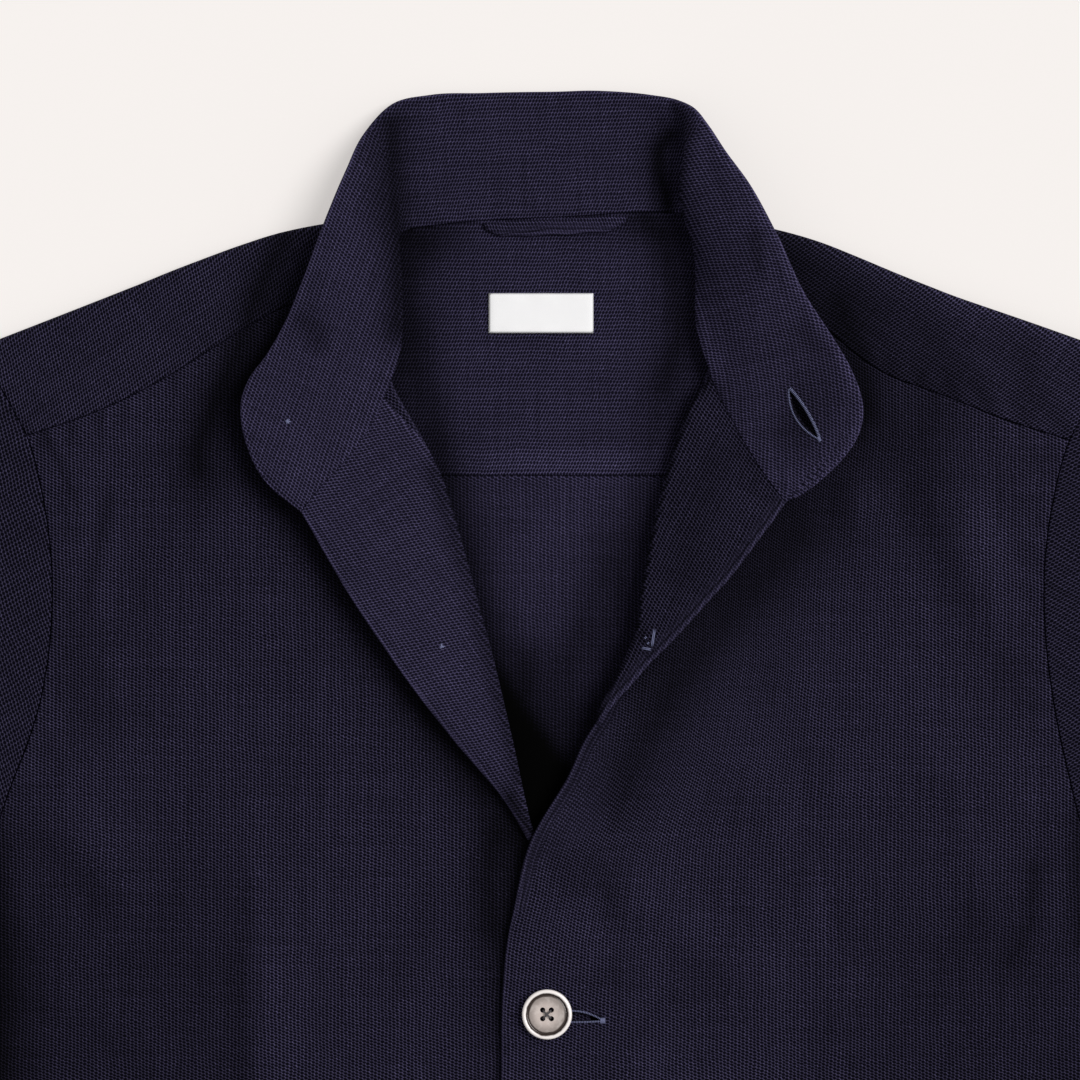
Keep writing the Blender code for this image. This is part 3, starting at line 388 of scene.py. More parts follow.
# Threads round the end of the buttonhole that the left lapel's roll takes under
ROLLED_HOLE = (((42.3, 164.7), (41.2, 157.6)), ((37, 157.2), (41, 156.5)),
               ((38.4, 161.5), (39, 160.9)), ((39.4, 159.3), (40, 158.8)))

# Studio
FLOOR_LEVEL = -.0002
VIEW_CENTRE = (-3.2, 200)
KEY_WAY, KEY_ANGLE = (.80, .30, 1), 34
FLOOR_GLOW = .5             # share of the floor's brightness that it gives by itself

# Weave: height of the rows that run down, up and along, and where hollow turns to cord
WEAVE_ROWS, CORD_RISE = (.40, .26, .34), (-.78, .02)
CORD_MEAN = .22             # mean height of the weave's cords
YARN_WANDER = ((55, .0016), (520, .00060))      # broad and fine: noise scale, reach in metres
GROOVE_FADE = (.0001, .0006)    # where the painted shade in a groove of stitches starts and ends
FINE_BUMP = .0001           # depth of the finest relief, in metres


# Settings -------------------------------------

def colour(name, description, value):
    return bpy.props.FloatVectorProperty(name=name, description=description, default=value,
                                         size=3, min=0, max=1, subtype="COLOR")


def number(name, description, value, low, high, unit="NONE"):
    return bpy.props.FloatProperty(name=name, description=description, default=value,
                                   min=low, max=high, unit=unit)


def length(name, description, value, low, high):
    return number(name, description, value, low, high, "LENGTH")


class JacketClothSettings(bpy.types.PropertyGroup):
    """Sizes and colours of the cloth"""
    cord: colour("Cord colour", "Raised yarns of the navy cloth", (0.0626, 0.0551, 0.1116))
    # painted light: a lighter copy of the cord colour for pieces that take more light
    lit_cord: colour("Lit cord colour", "Raised yarns, painted lighter, of the collar, right facing, inner yoke and loop",
                     (0.0766, 0.0666, 0.1400))
    pit: colour("Pit colour", "Hollows between the yarns", (0.0008, 0.0006, 0.0024))
    inside_cord: colour("Inside colour", "Yarns of the cloth's smoother inside",
                        (0.0862, 0.0745, 0.1585))
    label: colour("Label colour", "Woven label", (0.985, 0.975, 0.98))
    thread: colour("Buttonhole thread", "Thread of the buttonholes", (0.13, 0.14, 0.25))
    column_pitch: length("Column pitch", "Distance between two columns of hollows", .00147,
                         .0005, .01)
    row_pitch: length("Row pitch", "Distance between two hollows of a column", .00124, .0005, .01)
    wall: length("Cloth wall", "Thickness of one layer with its turned edges", .0016, .0005, .004)
    grid: length("Mesh step", "Distance between points in the middle of a panel", .0032,
                 .001, .02)


class JacketButtonSettings(bpy.types.PropertyGroup):
    """Sizes and colours of the buttons"""
    radius: length("Radius", "Radius of a button", .010, .004, .03)
    thickness: length("Thickness", "Thickness of the rim", .003, .001, .01)
    # painted reflection: the rim's near-white colour stands for the light reflected by its polish
    rim: colour("Rim colour", "Polished rim", (0.98, 0.91, 0.88))
    dish: colour("Dish colour", "Brushed middle", (0.60, 0.51, 0.47))
    groove: colour("Groove colour", "Darkened groove inside the rim", (0.035, 0.022, 0.018))
    thread: colour("Sewing thread", "Thread through the holes", (0.075, 0.07, 0.075))


class JacketStudioSettings(bpy.types.PropertyGroup):
    """Floor, light and camera"""
    floor: colour("Floor colour", "Plain pale floor", (0.93, 0.888, 0.863))
    key: number("Key light", "Strength of the main light", 2.3, 0, 20)
    fill: number("Fill light", "Strength of the sky", .44, 0, 5)
    distance: length("Camera height", "Height of the camera above the table", 1.6, .3, 10)
    lens: number("Lens", "Focal length in millimetres", 133.0, 10, 500)


# Curves and sheets of points ------------------

def curve_points(knots, steps):
    """Points at the given shares of the length of a smooth curve through the knots."""
    knots = np.array(knots, float)
    ends = np.vstack([2 * knots[0] - knots[1], knots, 2 * knots[-1] - knots[-2]])
    t = (np.arange(SPAN_POINTS) / SPAN_POINTS)[:, None]
    trail = [0.5 * (2 * b + (c - a) * t + (2 * a - 5 * b + 4 * c - d) * t ** 2
                    + (3 * b - a - 3 * c + d) * t ** 3)
             for a, b, c, d in zip(ends, ends[1:], ends[2:], ends[3:])]
    trail = np.vstack(trail + [knots[-1:]])
    lengths = running_length(trail)
    return along_line(trail, lengths, np.array(steps) * lengths[-1])


def even_curve(knots, count):
    return curve_points(knots, np.linspace(0, 1, count))


def along_line(points, lengths, goals):
    return np.stack([np.interp(goals, lengths, points[:, i]) for i in range(points.shape[1])], -1)


def running_length(points):
    steps = np.linalg.norm(np.diff(points, axis=0), axis=1)
    return np.concatenate([[0.0], np.cumsum(steps)])


def smooth_step(low, high, value):
    t = np.clip((np.asarray(value, float) - low) / (high - low), 0, 1)
    return t * t * (3 - 2 * t)


def bell(distance, width):
    return np.exp(-(distance / width) ** 2)


def across(sheet):
    return np.swapaxes(sheet, 0, 1)


def refine(sheet, step, closed=False):
    """More rows, on smooth curves through the sheet's own rows, no further apart than step."""
    rows = np.concatenate([sheet[-2:], sheet, sheet[:3]]) if closed else sheet
    gaps = np.linalg.norm(np.diff(rows[..., :3], axis=0), axis=2)
    width = np.maximum(gaps.mean(1), 1e-6)
    slope = np.diff(rows, axis=0) / width[:, None, None]
    before, after = width[:-1, None, None], width[1:, None, None]
    inner = (slope[:-1] * after + slope[1:] * before) / (before + after)
    tangent = np.concatenate([slope[:1], inner, slope[-1:]])
    first, last = (2, len(rows) - 3) if closed else (0, len(rows) - 1)
    made = []
    for i in range(first, last):
        count = max(1, math.ceil(gaps[i].max() / step))
        for t in np.arange(count) / count:
            made.append(rows[i] * (2 * t ** 3 - 3 * t ** 2 + 1)
                        + tangent[i] * width[i] * (t ** 3 - 2 * t ** 2 + t)
                        + rows[i + 1] * (3 * t ** 2 - 2 * t ** 3)
                        + tangent[i + 1] * width[i] * (t ** 3 - t ** 2))
    if not closed:
        made.append(rows[-1])
    return np.array(made)


def spacing(length, near_start, near_end, step):
    """Distances along a line: close together beside its ends and even between them."""
    near_end = length - np.array(near_end, float)[::-1]
    count = max(1, round((near_end[0] - near_start[-1]) / step))
    middle = np.linspace(near_start[-1], near_end[0], count + 1)[1:-1]
    return np.concatenate([near_start, middle, near_end])


def fitted(goals, longest, near_start, near_end, own):
    """The spacing of the longest line, fitted to a line of its own length."""
    share = min(1.0, own / SHORT_LINE / max(near_start[-1] + near_end[-1], 1e-6))
    stops = [0, near_start[-1], longest - near_end[-1], longest]
    return np.interp(goals, stops, [0, near_start[-1] * share, own - near_end[-1] * share, own])


def respace(sheet, near_start, near_end, step):
    """The sheet with new rows: close together beside its ends and even between them."""
    lengths = [running_length(sheet[:, c, :3]) for c in range(sheet.shape[1])]
    longest = max(line[-1] for line in lengths)
    goals = spacing(longest, near_start, near_end, step)
    columns = [along_line(sheet[:, c], line, fitted(goals, longest, near_start, near_end, line[-1]))
               for c, line in enumerate(lengths)]
    return np.stack(columns, 1)


def respaced(sheet, columns, rows, step):
    """The sheet with new columns, then new rows; each pair is the spacing at the two ends."""
    return respace(across(respace(across(sheet), *columns, step)), *rows, step)


def edge_distances(sheet):
    """Distance of every point, along the cloth, from the first and the last row."""
    steps = np.linalg.norm(np.diff(sheet[..., :3], axis=0), axis=2)
    start = np.concatenate([np.zeros((1, sheet.shape[1])), np.cumsum(steps, 0)])
    return start, start[-1:] - start


def side_distances(sheet):
    start, end = edge_distances(across(sheet))
    return across(start), across(end)


def edges_of(sheet):
    """Distances from the first and last rows, then from the first and last columns."""
    return (*edge_distances(sheet), *side_distances(sheet))


def fold_relief(x, y, folds):
    """Soft ridges and troughs: each dies away at its ends and is steeper on one side."""
    height = np.zeros_like(x)
    for (x0, y0), (x1, y1), bow, width, rise in folds:
        run = math.hypot(x1 - x0, y1 - y0)
        ux, uy = (x1 - x0) / run, (y1 - y0) / run
        along = ((x - x0) * ux + (y - y0) * uy) / run
        inside = np.clip(along, 0, 1)
        away = (x - x0) * -uy + (y - y0) * ux - bow * 4 * inside * (1 - inside)
        reach = width * np.where(away > 0, 1.2, .8)
        taper = smooth_step(-.18, .3, along) * smooth_step(1.18, .7, along)
        height += rise * bell(away, reach) * taper
    return height


def settled(sheet):
    """The sheet, moved with the cloth where the jacket lies askew."""
    moved = sheet.copy()
    for centre, reach, shift in SETTLE:
        near = np.exp(-(((sheet[..., :2] - centre) / reach) ** 2).sum(-1))
        moved[..., :2] += near[..., None] * np.array(shift)
    return moved


def turned_grain(sheet, turns):
    """Yarns that turn along the rows of a sheet, by an angle for each row."""
    spine = sheet[:, sheet.shape[1] // 2, :2]
    c, s = np.cos(turns), np.sin(turns)
    steps = np.diff(spine, axis=0)
    half_c, half_s = (c[1:] + c[:-1]) / 2, (s[1:] + s[:-1]) / 2
    over = np.concatenate([[0], np.cumsum(steps[:, 0] * half_c + steps[:, 1] * half_s)])
    along = np.concatenate([[0], np.cumsum(steps[:, 1] * half_c - steps[:, 0] * half_s)])
    x, y = (sheet[..., i] - spine[:, i, None] for i in (0, 1))
    return np.stack([over[:, None] + x * c[:, None] + y * s[:, None],
                     along[:, None] + y * c[:, None] - x * s[:, None]], -1)


def uneven(run, pitch, seed):
    """A ripple along a seam, uneven in pitch and height, between -1 and 1."""
    wander = run + .35 * pitch * np.sin(run / (1.9 * pitch) + seed)
    swell = .55 + .45 * np.sin(run / (2.7 * pitch) + 2.1 * seed)
    return swell * np.sin(2 * math.pi * wander / pitch + seed)


def pucker(run, distance, height, pitch, seed, middle, width):
    """Ripples along a seam, highest at the middle of a band of some width beside it."""
    return height * uneven(run, pitch, seed) * bell(distance - middle, width)


# Raised edges whose shadows are painted on the cloth beside them

def plan_line(knots, low=-1e9, high=1e9):
    """A smooth outline in the plane, between two heights of y."""
    line = even_curve([knot[:2] for knot in knots], 60)
    return line[(line[:, 1] >= low) & (line[:, 1] <= high)]


def collar_tops(first, last):
    return plan_line([top for _, top, _ in COLLAR_STATIONS[first:last]])


def collar_seams(first, last):
    return plan_line([seam for seam, _, _ in COLLAR_STATIONS[first:last]])


# Shells ---------------------------------------

def rounded(distance, wall):
    """Share of the full wall at a distance from an edge that is rounded like a rolled one."""
    return np.sqrt(1 - (1 - np.clip(distance / (wall / 2), 0, 1)) ** 2)


def turned(wall, *distances):
    """Share of the wall that is left beside edges that are all rounded."""
    return math.prod(rounded(distance, wall) for distance in distances)


def seamed(distance, roll=SEAM_ROLL):
    """Share of the full wall beside a seam, where the cloth turns down into it."""
    return (1 - roll) * rounded(distance, SEAM_CREASE) + roll * rounded(distance, SEAM_TURN)


def stitched(distance, amount=1.0):
    """Share of the wall beside a finished edge: a corded rim, its groove and a pressed band."""
    return 1 + sum(rise * bell(distance - middle, width)
                   for rise, middle, width in STITCH_RELIEF) * amount


def plain_rim(distance, width):
    """Distance from a finished edge that is turned but shows no groove of stitches."""
    return np.where(distance < width + .01, distance * PLAIN_RIM / width, FAR)


def sheet_normals(mid, closed):
    over = np.roll(mid, -1, 1) - np.roll(mid, 1, 1) if closed else np.gradient(mid, axis=1)
    normal = np.cross(over, np.gradient(mid, axis=0))
    return normal / np.maximum(np.linalg.norm(normal, axis=2, keepdims=True), 1e-12)


def paint_shade(mid, lines=(), light_patches=(), closed=False, contrast=SLOPE_LIGHT_CONTRAST):
    """Painted light and shade for each point, as a share that scales the cloth's colour: slopes
    toward the key light are painted lighter and slopes away darker. lines are edges and hollows
    whose
    shadows are painted on the cloth: outline, depth and reach."""
    x, y = mid[..., 0], mid[..., 1]
    lean = np.array(KEY_WAY[:2]) / math.hypot(*KEY_WAY[:2])
    normal = sheet_normals(mid, closed)
    # painted light: a slope toward the key light is painted lighter, a slope turned away darker
    tilt = normal[..., :2] @ lean * np.sign(normal[..., 2])
    # painted light and shade: broad patches from the tables of light patches
    shade = np.clip(1 + contrast * tilt, *SHADE_LIMITS) * np.exp(fold_relief(x, y, light_patches))
    spots = np.stack([x.ravel(), y.ravel()], -1)
    # painted shadows: the colour is darkened near each line
    for line, depth, reach in lines:
        line = np.array(line)
        near = np.full(len(spots), np.inf)
        for a, b in zip(line, line[1:]):
            run = b - a
            along = np.clip((spots - a) @ run / max(run @ run, 1e-9), 0, 1)
            near = np.minimum(near, np.linalg.norm(spots - a - along[:, None] * run, axis=1))
        shade = shade * (1 - depth * np.exp(-(near / reach) ** SHADOW_FALL)).reshape(x.shape)
    return shade


def shell_part(mid, wall, grain, edge, closed=False, bands=(), shade=None, plain_under=False):
    """Points, faces, grain and looks (edge distance, painted shade) of one closed shell round a
    sheet.
    bands are (mask, grain) where the yarns run another way; plain_under leaves the side that
    lies on the table without painted shade."""
    rows, columns = mid.shape[:2]
    shade = paint_shade(mid, closed=closed) if shade is None else shade
    mid = mid.copy()
    mid[..., 2] = np.maximum(mid[..., 2], wall / 2 + CLEAR)
    normal = sheet_normals(mid, closed) * wall[..., None] / 2
    border = np.zeros((rows, columns), bool)
    border[0] = border[-1] = True
    if not closed:
        border[:, 0] = border[:, -1] = True
    upper = np.arange(rows * columns).reshape(rows, columns)
    lower = upper.copy()
    lower[~border] = rows * columns + np.arange(np.count_nonzero(~border))
    points = np.concatenate([(mid + normal).reshape(-1, 3), (mid - normal)[~border]])
    points[:, 2] = np.maximum(points[:, 2], CLEAR)
    looks = np.stack([edge * MM, shade], -1)
    under = looks[~border] * (1, 0) + (0, 1) if plain_under else looks[~border]
    looks = np.concatenate([looks.reshape(-1, 2), under])
    reach = columns if closed else columns - 1
    r, c = (a.ravel() for a in np.meshgrid(np.arange(rows - 1), np.arange(reach), indexing="ij"))
    d = (c + 1) % columns
    ring = ((r, c), (r, d), (r + 1, d), (r + 1, c))
    corners = np.stack([grain[place] for place in ring], 1)
    for mask, other in bands:
        inside = np.all([mask[place] for place in ring], 0)
        corners[inside] = np.stack([other[place] for place in ring], 1)[inside]
    top = np.stack([upper[place] for place in ring], 1)
    under = np.stack([lower[place] for place in ring], 1)[:, ::-1]
    return points, np.concatenate([top, under]), np.concatenate([corners, corners[:, ::-1]]), looks


def shell_mesh(name, parts):
    """One mesh of closed shells, with the yarns' run as its UV map and a material for each."""
    points, faces, corners, looks, kinds = [], [], [], [], []
    for i, (part_points, part_faces, part_corners, part_looks) in enumerate(parts):
        faces.append(part_faces + sum(len(p) for p in points))
        points.append(part_points)
        corners.append(part_corners)
        looks.append(part_looks)
        kinds.append(np.full(len(part_faces), min(i, 1)))
    mesh = bpy.data.meshes.new(name)
    mesh.from_pydata((np.concatenate(points) * MM).tolist(), [], np.concatenate(faces).tolist())
    layer = mesh.uv_layers.new(name="grain")
    layer.data.foreach_set("uv", (np.concatenate(corners).reshape(-1) * MM).astype(np.float32))
    # edge distance, and the painted shade that scales the cloth's colour
    for i, attribute in enumerate(("edge_distance", "shade")):
        store = mesh.attributes.new(attribute, "FLOAT", "POINT")
        store.data.foreach_set("value", np.concatenate(looks)[:, i].astype(np.float32))
    mesh.polygons.foreach_set("material_index", np.concatenate(kinds).astype(np.int32))
    mesh.shade_smooth()
    return mesh


def link_new(name, data):
    made = bpy.data.objects.new(name, data)
    bpy.context.scene.collection.objects.link(made)
    return made


def solid_mesh(name, points, faces):
    """A mesh, in metres, of closed shells whose faces all look outward."""
    mesh = bpy.data.meshes.new(name)
    mesh.from_pydata(points, [], faces)
    shells = bmesh.new()
    shells.from_mesh(mesh)
    bmesh.ops.recalc_face_normals(shells, faces=shells.faces)
    shells.to_mesh(mesh)
    shells.free()
    return mesh


def cut_away(piece, tool):
    """Takes the tool's shape out of a piece and removes the tool."""
    clear_selection()
    bpy.context.view_layer.objects.active = piece
    cut = piece.modifiers.new("cut", "BOOLEAN")
    cut.operation = "DIFFERENCE"
    cut.solver = "EXACT"
    cut.object = tool
    bpy.ops.object.modifier_apply(modifier=cut.name)
    bpy.data.objects.remove(tool, do_unlink=True)


def finish_piece(piece, materials, replaces=None):
    for material in materials:
        piece.data.materials.append(bpy.data.materials[material])
    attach(piece, "root")
    if replaces:
        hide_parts(replaces)
    return piece


def sew(name, parts, materials, replaces):
    """A finished cloth piece in the scene, put in place of the solid that it stands for, which is
    hidden.
    """
    piece = link_new(name, shell_mesh(name, parts))
    finish_piece(piece, materials, replaces)
    return piece


# Cloth pieces ---------------------------------

def plain_grain(mid, turn=0.0):
    """Yarns along Y, turned by an angle."""
    c, s = math.cos(turn), math.sin(turn)
    x, y = mid[..., 0], mid[..., 1]
    return np.stack([x * c + y * s, y * c - x * s], -1)


def back_part(step):
    """Back panel, flat on the table from the hem to the yoke seam."""
    armhole = curve_points(ARMHOLE_BACK, BACK_STEPS)[BACK_YOKE_STEP:]
    armhole[0, 1] = BACK_YOKE_Y - SEAM_GAP
    side = np.array([(HEM_HALF_WIDTH, HEM_Y), (261.0, -180.0), (263.0, -60.0), (263.8, 10)])
    half = np.concatenate([side, armhole[::-1]])
    line = [np.linspace(a, b, 12)[:-1] for a, b in zip(half, half[1:])]
    line = np.concatenate(line + [half[-1:]])
    sheet = np.stack([np.stack([line[:, 0] * s, line[:, 1], np.full(len(line), BACK_LEVEL)], -1)
                      for s in np.linspace(-1, 1, 61)], 1)
    sheet = settled(respaced(sheet, SEAM_ENDS, (EDGE_SPACING, SEAM_SPACING), step))
    hem, yoke, left, right = edges_of(sheet)
    x, y = sheet[..., 0], sheet[..., 1]
    inside = (1 - bell(left, 20)) * (1 - bell(right, 20)) * (1 - bell(yoke, 14))
    wall = BACK_WALL * turned(BACK_WALL, hem, left, right) * stitched(hem)
    wall *= np.maximum(seamed(yoke), LIP_WALL / BACK_WALL)
    sheet[..., 2] += inside * np.clip(fold_relief(x, y, BACK_FOLDS), 0, None)
    sheet[..., 2] = np.where(yoke < 2, wall / 2, sheet[..., 2])
    sheet, wall = add_lip(sheet, wall, np.full(sheet.shape[1], LIP))
    # painted shadows of the opening's edges and the neck on the inside of the back
    shade = paint_shade(sheet, opening_shadows() + [*NECK_SHADOWS])
    x, y = sheet[..., 0], sheet[..., 1]
    # painted shade: dark in the V and black in the hole at its foot
    shade *= 1 - V_SHADE_DEPTH * smooth_step(*V_TO_FULL, y) * bell(x, V_WIDTH)
    past = HOLE_WAY[0] * (x - HOLE_POINT[0]) + HOLE_WAY[1] * (y - HOLE_POINT[1])
    shade *= 1 - smooth_step(*HOLE_FADE, past)
    hem = np.concatenate([hem] + [hem[-1:]] * 3)
    return shell_part(sheet, wall, plain_grain(sheet), hem, shade=shade, plain_under=True)


def add_lip(sheet, wall, reach):
    """Adds a thin seam allowance past the last row, flat on the table."""
    way = sheet[-1] - sheet[-2]
    way[:, 2] = 0
    way /= np.maximum(np.linalg.norm(way, axis=1, keepdims=True), 1e-9)
    rows = [sheet[-1] + way * reach[:, None] * share for share in (.3, .9, 1.0)]
    for row in rows:
        row[:, 2] = LIP_WALL / 2
    thin = np.full(sheet.shape[1], LIP_WALL)
    thin[[0, -1]] = 0
    return np.concatenate([sheet, rows]), np.concatenate([wall, [thin, thin, 0 * thin]])


def opening_shadows():
    """Edges round the neck opening and the V, whose shadows are painted on the inside of the back.
    """
    return [(collar_seams(3, 14), .62, 13), (collar_seams(19, 31), .3, 10),
            (plan_line(RIGHT_LAPEL_ROLL, 90, 228), .5, 13),
            (plan_line(RIGHT_LAPEL_ROLL, 228), .35, 10),
            (plan_line(LEFT_LAPEL_ROLL), .3, 12), (plan_line(LEFT_FRONT_EDGE, 70, 160), .3, 12)]


def yoke_front_seam():
    """Front yoke seam as a dense line, its armhole end on the armhole's own point."""
    corner = curve_points(ARMHOLE_FRONT, FRONT_STEPS)[FRONT_YOKE_STEP]
    return even_curve((tuple(corner),) + FRONT_YOKE_SEAM[1:], 201)


def shoulder_frame():
    """For each line over the shoulder: the fold's centre, its outward way and the front seam."""
    edge = curve_points(SHOULDER_EDGE, SHOULDER_STEPS)
    seam = yoke_front_seam()
    seam = along_line(seam, running_length(seam) / running_length(seam)[-1], SHOULDER_STEPS)
    along = edge[np.maximum(np.arange(len(edge)) - 1, 0)] \
        - edge[np.minimum(np.arange(len(edge)) + 1, len(edge) - 1)]
    along /= np.linalg.norm(along, axis=1, keepdims=True)
    outward = np.stack([-along[:, 1], along[:, 0]], -1)
    outward[0] = math.sin(math.radians(TIP_LEAN)), math.cos(math.radians(TIP_LEAN))
    centre = edge - outward * (YOKE_FOLD_RADIUS + YOKE_WALL / 2)
    return centre, outward, seam


def yoke_parts(step):
    """Double yoke: the flat inside behind the neck, and the parts that wrap the shoulders."""
    back_armhole = curve_points(ARMHOLE_BACK, BACK_STEPS)
    front_armhole = curve_points(ARMHOLE_FRONT, FRONT_STEPS)
    centre, outward, seam = shoulder_frame()
    tip_x = SHOULDER_EDGE[0][0]
    reach = back_armhole[BACK_YOKE_STEP][0] / tip_x
    spans = curve_points(SHOULDER_EDGE, SHOULDER_STEPS)[:, 0] / tip_x
    shoulder = []
    for i, top in enumerate(centre):
        foot = np.array([tip_x * reach * spans[i], BACK_YOKE_Y])
        line = [foot + (top - foot) * g for g in (0, .3, .585, .85, 1)]
        if i == 0:
            line[2] = back_armhole[2]
        shoulder.append(line)
    neck = []
    for station in NECK_STATIONS:
        x, y, _ = COLLAR_STATIONS[station][0]
        foot, top = np.array([x * reach, BACK_YOKE_Y]), np.array([x, y - SEAM_GAP])
        neck.append([foot + (top - foot) * g for g in (0, .3, .6, .88, 1)])
    shoulder, neck = np.array(shoulder), np.array(neck)
    mirrored = shoulder * (-1, 1)
    flat = np.concatenate([mirrored, neck, shoulder[::-1]])
    flat = np.concatenate([flat, np.full(flat.shape[:2] + (1,), YOKE_LEVEL)], -1)
    flat = straight_refine(across(straight_refine(flat, step)), step)
    flat = settled(respaced(flat, SEAM_ENDS, SEAM_ENDS, step))
    foot, top, left, right = edges_of(flat)
    neck = smooth_step(62, 54, np.abs(flat[..., 0]))
    top_share_of_wall = np.maximum(seamed(top), LIP_WALL / YOKE_WALL * neck)
    wall = YOKE_WALL * rounded(foot, 1.0) * top_share_of_wall * turned(YOKE_WALL, left, right)
    wall *= 1 - YOKE_DIP * bell(foot, YOKE_DIP_WIDTH)
    lifted = flat[..., 2] + YOKE_LIFT * bell(foot, YOKE_DIP_WIDTH)
    flat[..., 2] = np.where(top < 2, wall / 2, lifted)
    flat, wall = add_lip(flat, wall, .3 + (LIP - .3) * neck[-1])
    foot = np.concatenate([foot] + [foot[-1:]] * 3)
    inside = plain_grain(flat, math.pi / 2)
    # painted shadows of the opening's edges and the neck on the inner yoke
    shade = paint_shade(flat, opening_shadows() + [*NECK_SHADOWS]) * YOKE_LIGHT
    shade *= 1 + YOKE_BAND_LIGHT * smooth_step(*YOKE_BAND, foot)
    parts = [shell_part(flat, wall, inside, np.full(wall.shape, FAR), shade=shade,
                        plain_under=True)]
    for side in (-1, 1):
        parts.append(shoulder_part(centre, outward, seam, front_armhole[2], side, step))
    return parts


def straight_refine(sheet, step):
    """More rows, on straight lines between the sheet's own rows."""
    made = []
    for a, b in zip(sheet, sheet[1:]):
        count = max(1, math.ceil(np.linalg.norm(b - a, axis=-1).max() / step))
        made += [a + (b - a) * t for t in np.arange(count) / count]
    return np.array(made + [sheet[-1]])


def shoulder_part(centre, outward, seam, armhole_middle, side, step):
    """One wrapped shoulder, from under the fold round to the front yoke seam."""
    top_level = YOKE_LEVEL + 2 * YOKE_FOLD_RADIUS
    lines = []
    for i, (middle, out, foot) in enumerate(zip(centre, outward, seam)):
        line = [(*(middle - out * 6), YOKE_LEVEL)]
        for turn in np.radians(SHOULDER_TURNS):
            spot = middle + out * YOKE_FOLD_RADIUS * math.cos(turn)
            line.append((*spot, YOKE_LEVEL + YOKE_FOLD_RADIUS * (1 + math.sin(turn))))
        halfway = armhole_middle if i == 0 else (middle + foot) / 2
        line.append((*halfway, YOKE_SEAM_LEVEL + (top_level - YOKE_SEAM_LEVEL) * .6))
        line.append((*foot, YOKE_SEAM_LEVEL))
        lines.append(line)
    sheet = np.array(lines)
    sheet = refine(across(refine(sheet, step)), 1.0)
    sheet = across(respace(across(sheet), SEAM_SPACING, SEAM_SPACING, step))
    sheet = respace(sheet, (0, 1, 2, 3), SEAM_SPACING, 1.6)
    sheet[..., 0] *= side
    sheet = settled(sheet if side > 0 else sheet[:, ::-1])
    first, last, left, right = edges_of(sheet)
    run = sheet[..., 0]
    sheet[..., 2] += pucker(run, last, .28, 13, 1.3, 3.5, 4.5)
    sheet[..., 2] += fold_relief(sheet[..., 0], sheet[..., 1], YOKE_FOLDS) * (1 - bell(last, 6)) \
        * smooth_step(6, 16, first)
    wall = YOKE_WALL * seamed(last) * rounded(first, YOKE_WALL) * seamed(left) * seamed(right)
    grain = plain_grain(sheet, side * math.radians(SHOULDER_GRAIN))
    # painted shadows beside the collar and in the shoulder's hollows, and painted light patches
    lines = [(collar_tops(2, 9), .5, 8), *RIGHT_SHADOWS] if side < 0 else \
        [(collar_tops(22, 33), .66, 27), *LEFT_SHADOWS]
    shade = paint_shade(sheet, lines, YOKE_LIGHT_PATCHES)
    return shell_part(sheet, wall, grain, np.full(wall.shape, FAR), shade=shade)


def front_lines(edge_knots, side, step):
    """Outer and inner ends of every row of a front, from the hem to the yoke seam."""
    armhole_steps = np.array(FRONT_STEPS[FRONT_YOKE_STEP:][::-1])
    last = HEM_ROWS + len(armhole_steps) - 1
    places = np.linspace(0, last, last * 60 + 1)
    above = np.clip(places - HEM_ROWS, 0, None)
    trail = even_curve(edge_knots, 1201)
    lengths = running_length(trail)
    up = min(range(len(trail)), key=lambda i: abs(trail[i, 1] - UNDERARM[1]))
    levels_y = HEM_Y + (UNDERARM[1] - HEM_Y) * np.clip(places, 0, HEM_ROWS) / HEM_ROWS
    inner_low = along_line(trail, trail[:, 1], levels_y)
    share = above / (len(armhole_steps) - 1)
    inner_high = along_line(trail, lengths, lengths[up] + (lengths[-1] - lengths[up]) * share)
    inner = np.where((places > HEM_ROWS)[:, None], inner_high, inner_low)
    armhole = even_curve(ARMHOLE_FRONT, 401)
    step_share = np.interp(above, np.arange(len(armhole_steps)), armhole_steps)
    outer_high = along_line(armhole, np.linspace(0, 1, 401), step_share)
    low = np.clip(places / HEM_ROWS, 0, 1)[:, None]
    outer_low = np.array([HEM_HALF_WIDTH, HEM_Y]) * (1 - low) + np.array(UNDERARM) * low
    outer = np.where((places > HEM_ROWS)[:, None], outer_high, outer_low)
    level = SIDE_LEVEL + (CHEST_LEVEL - SIDE_LEVEL) * smooth_step(0, 4, above)
    level += (YOKE_SEAM_LEVEL - level) * smooth_step(last - 1, last, places)
    toward_top = smooth_step(last - 5, last, places)
    middle = running_length((outer * (side, 1) + inner[:, :2]) / 2)
    goals = spacing(middle[-1], EDGE_SPACING, SEAM_SPACING, step)
    table = np.concatenate([outer, level[:, None], inner, toward_top[:, None]], 1)
    return along_line(table, middle, goals)


def chest_level(x, y):
    """Level of a front away from its edges, before the folds."""
    return CHEST_LEVEL + .9 * bell(np.abs(x) - 125, 60) * bell(y - 20, 240)


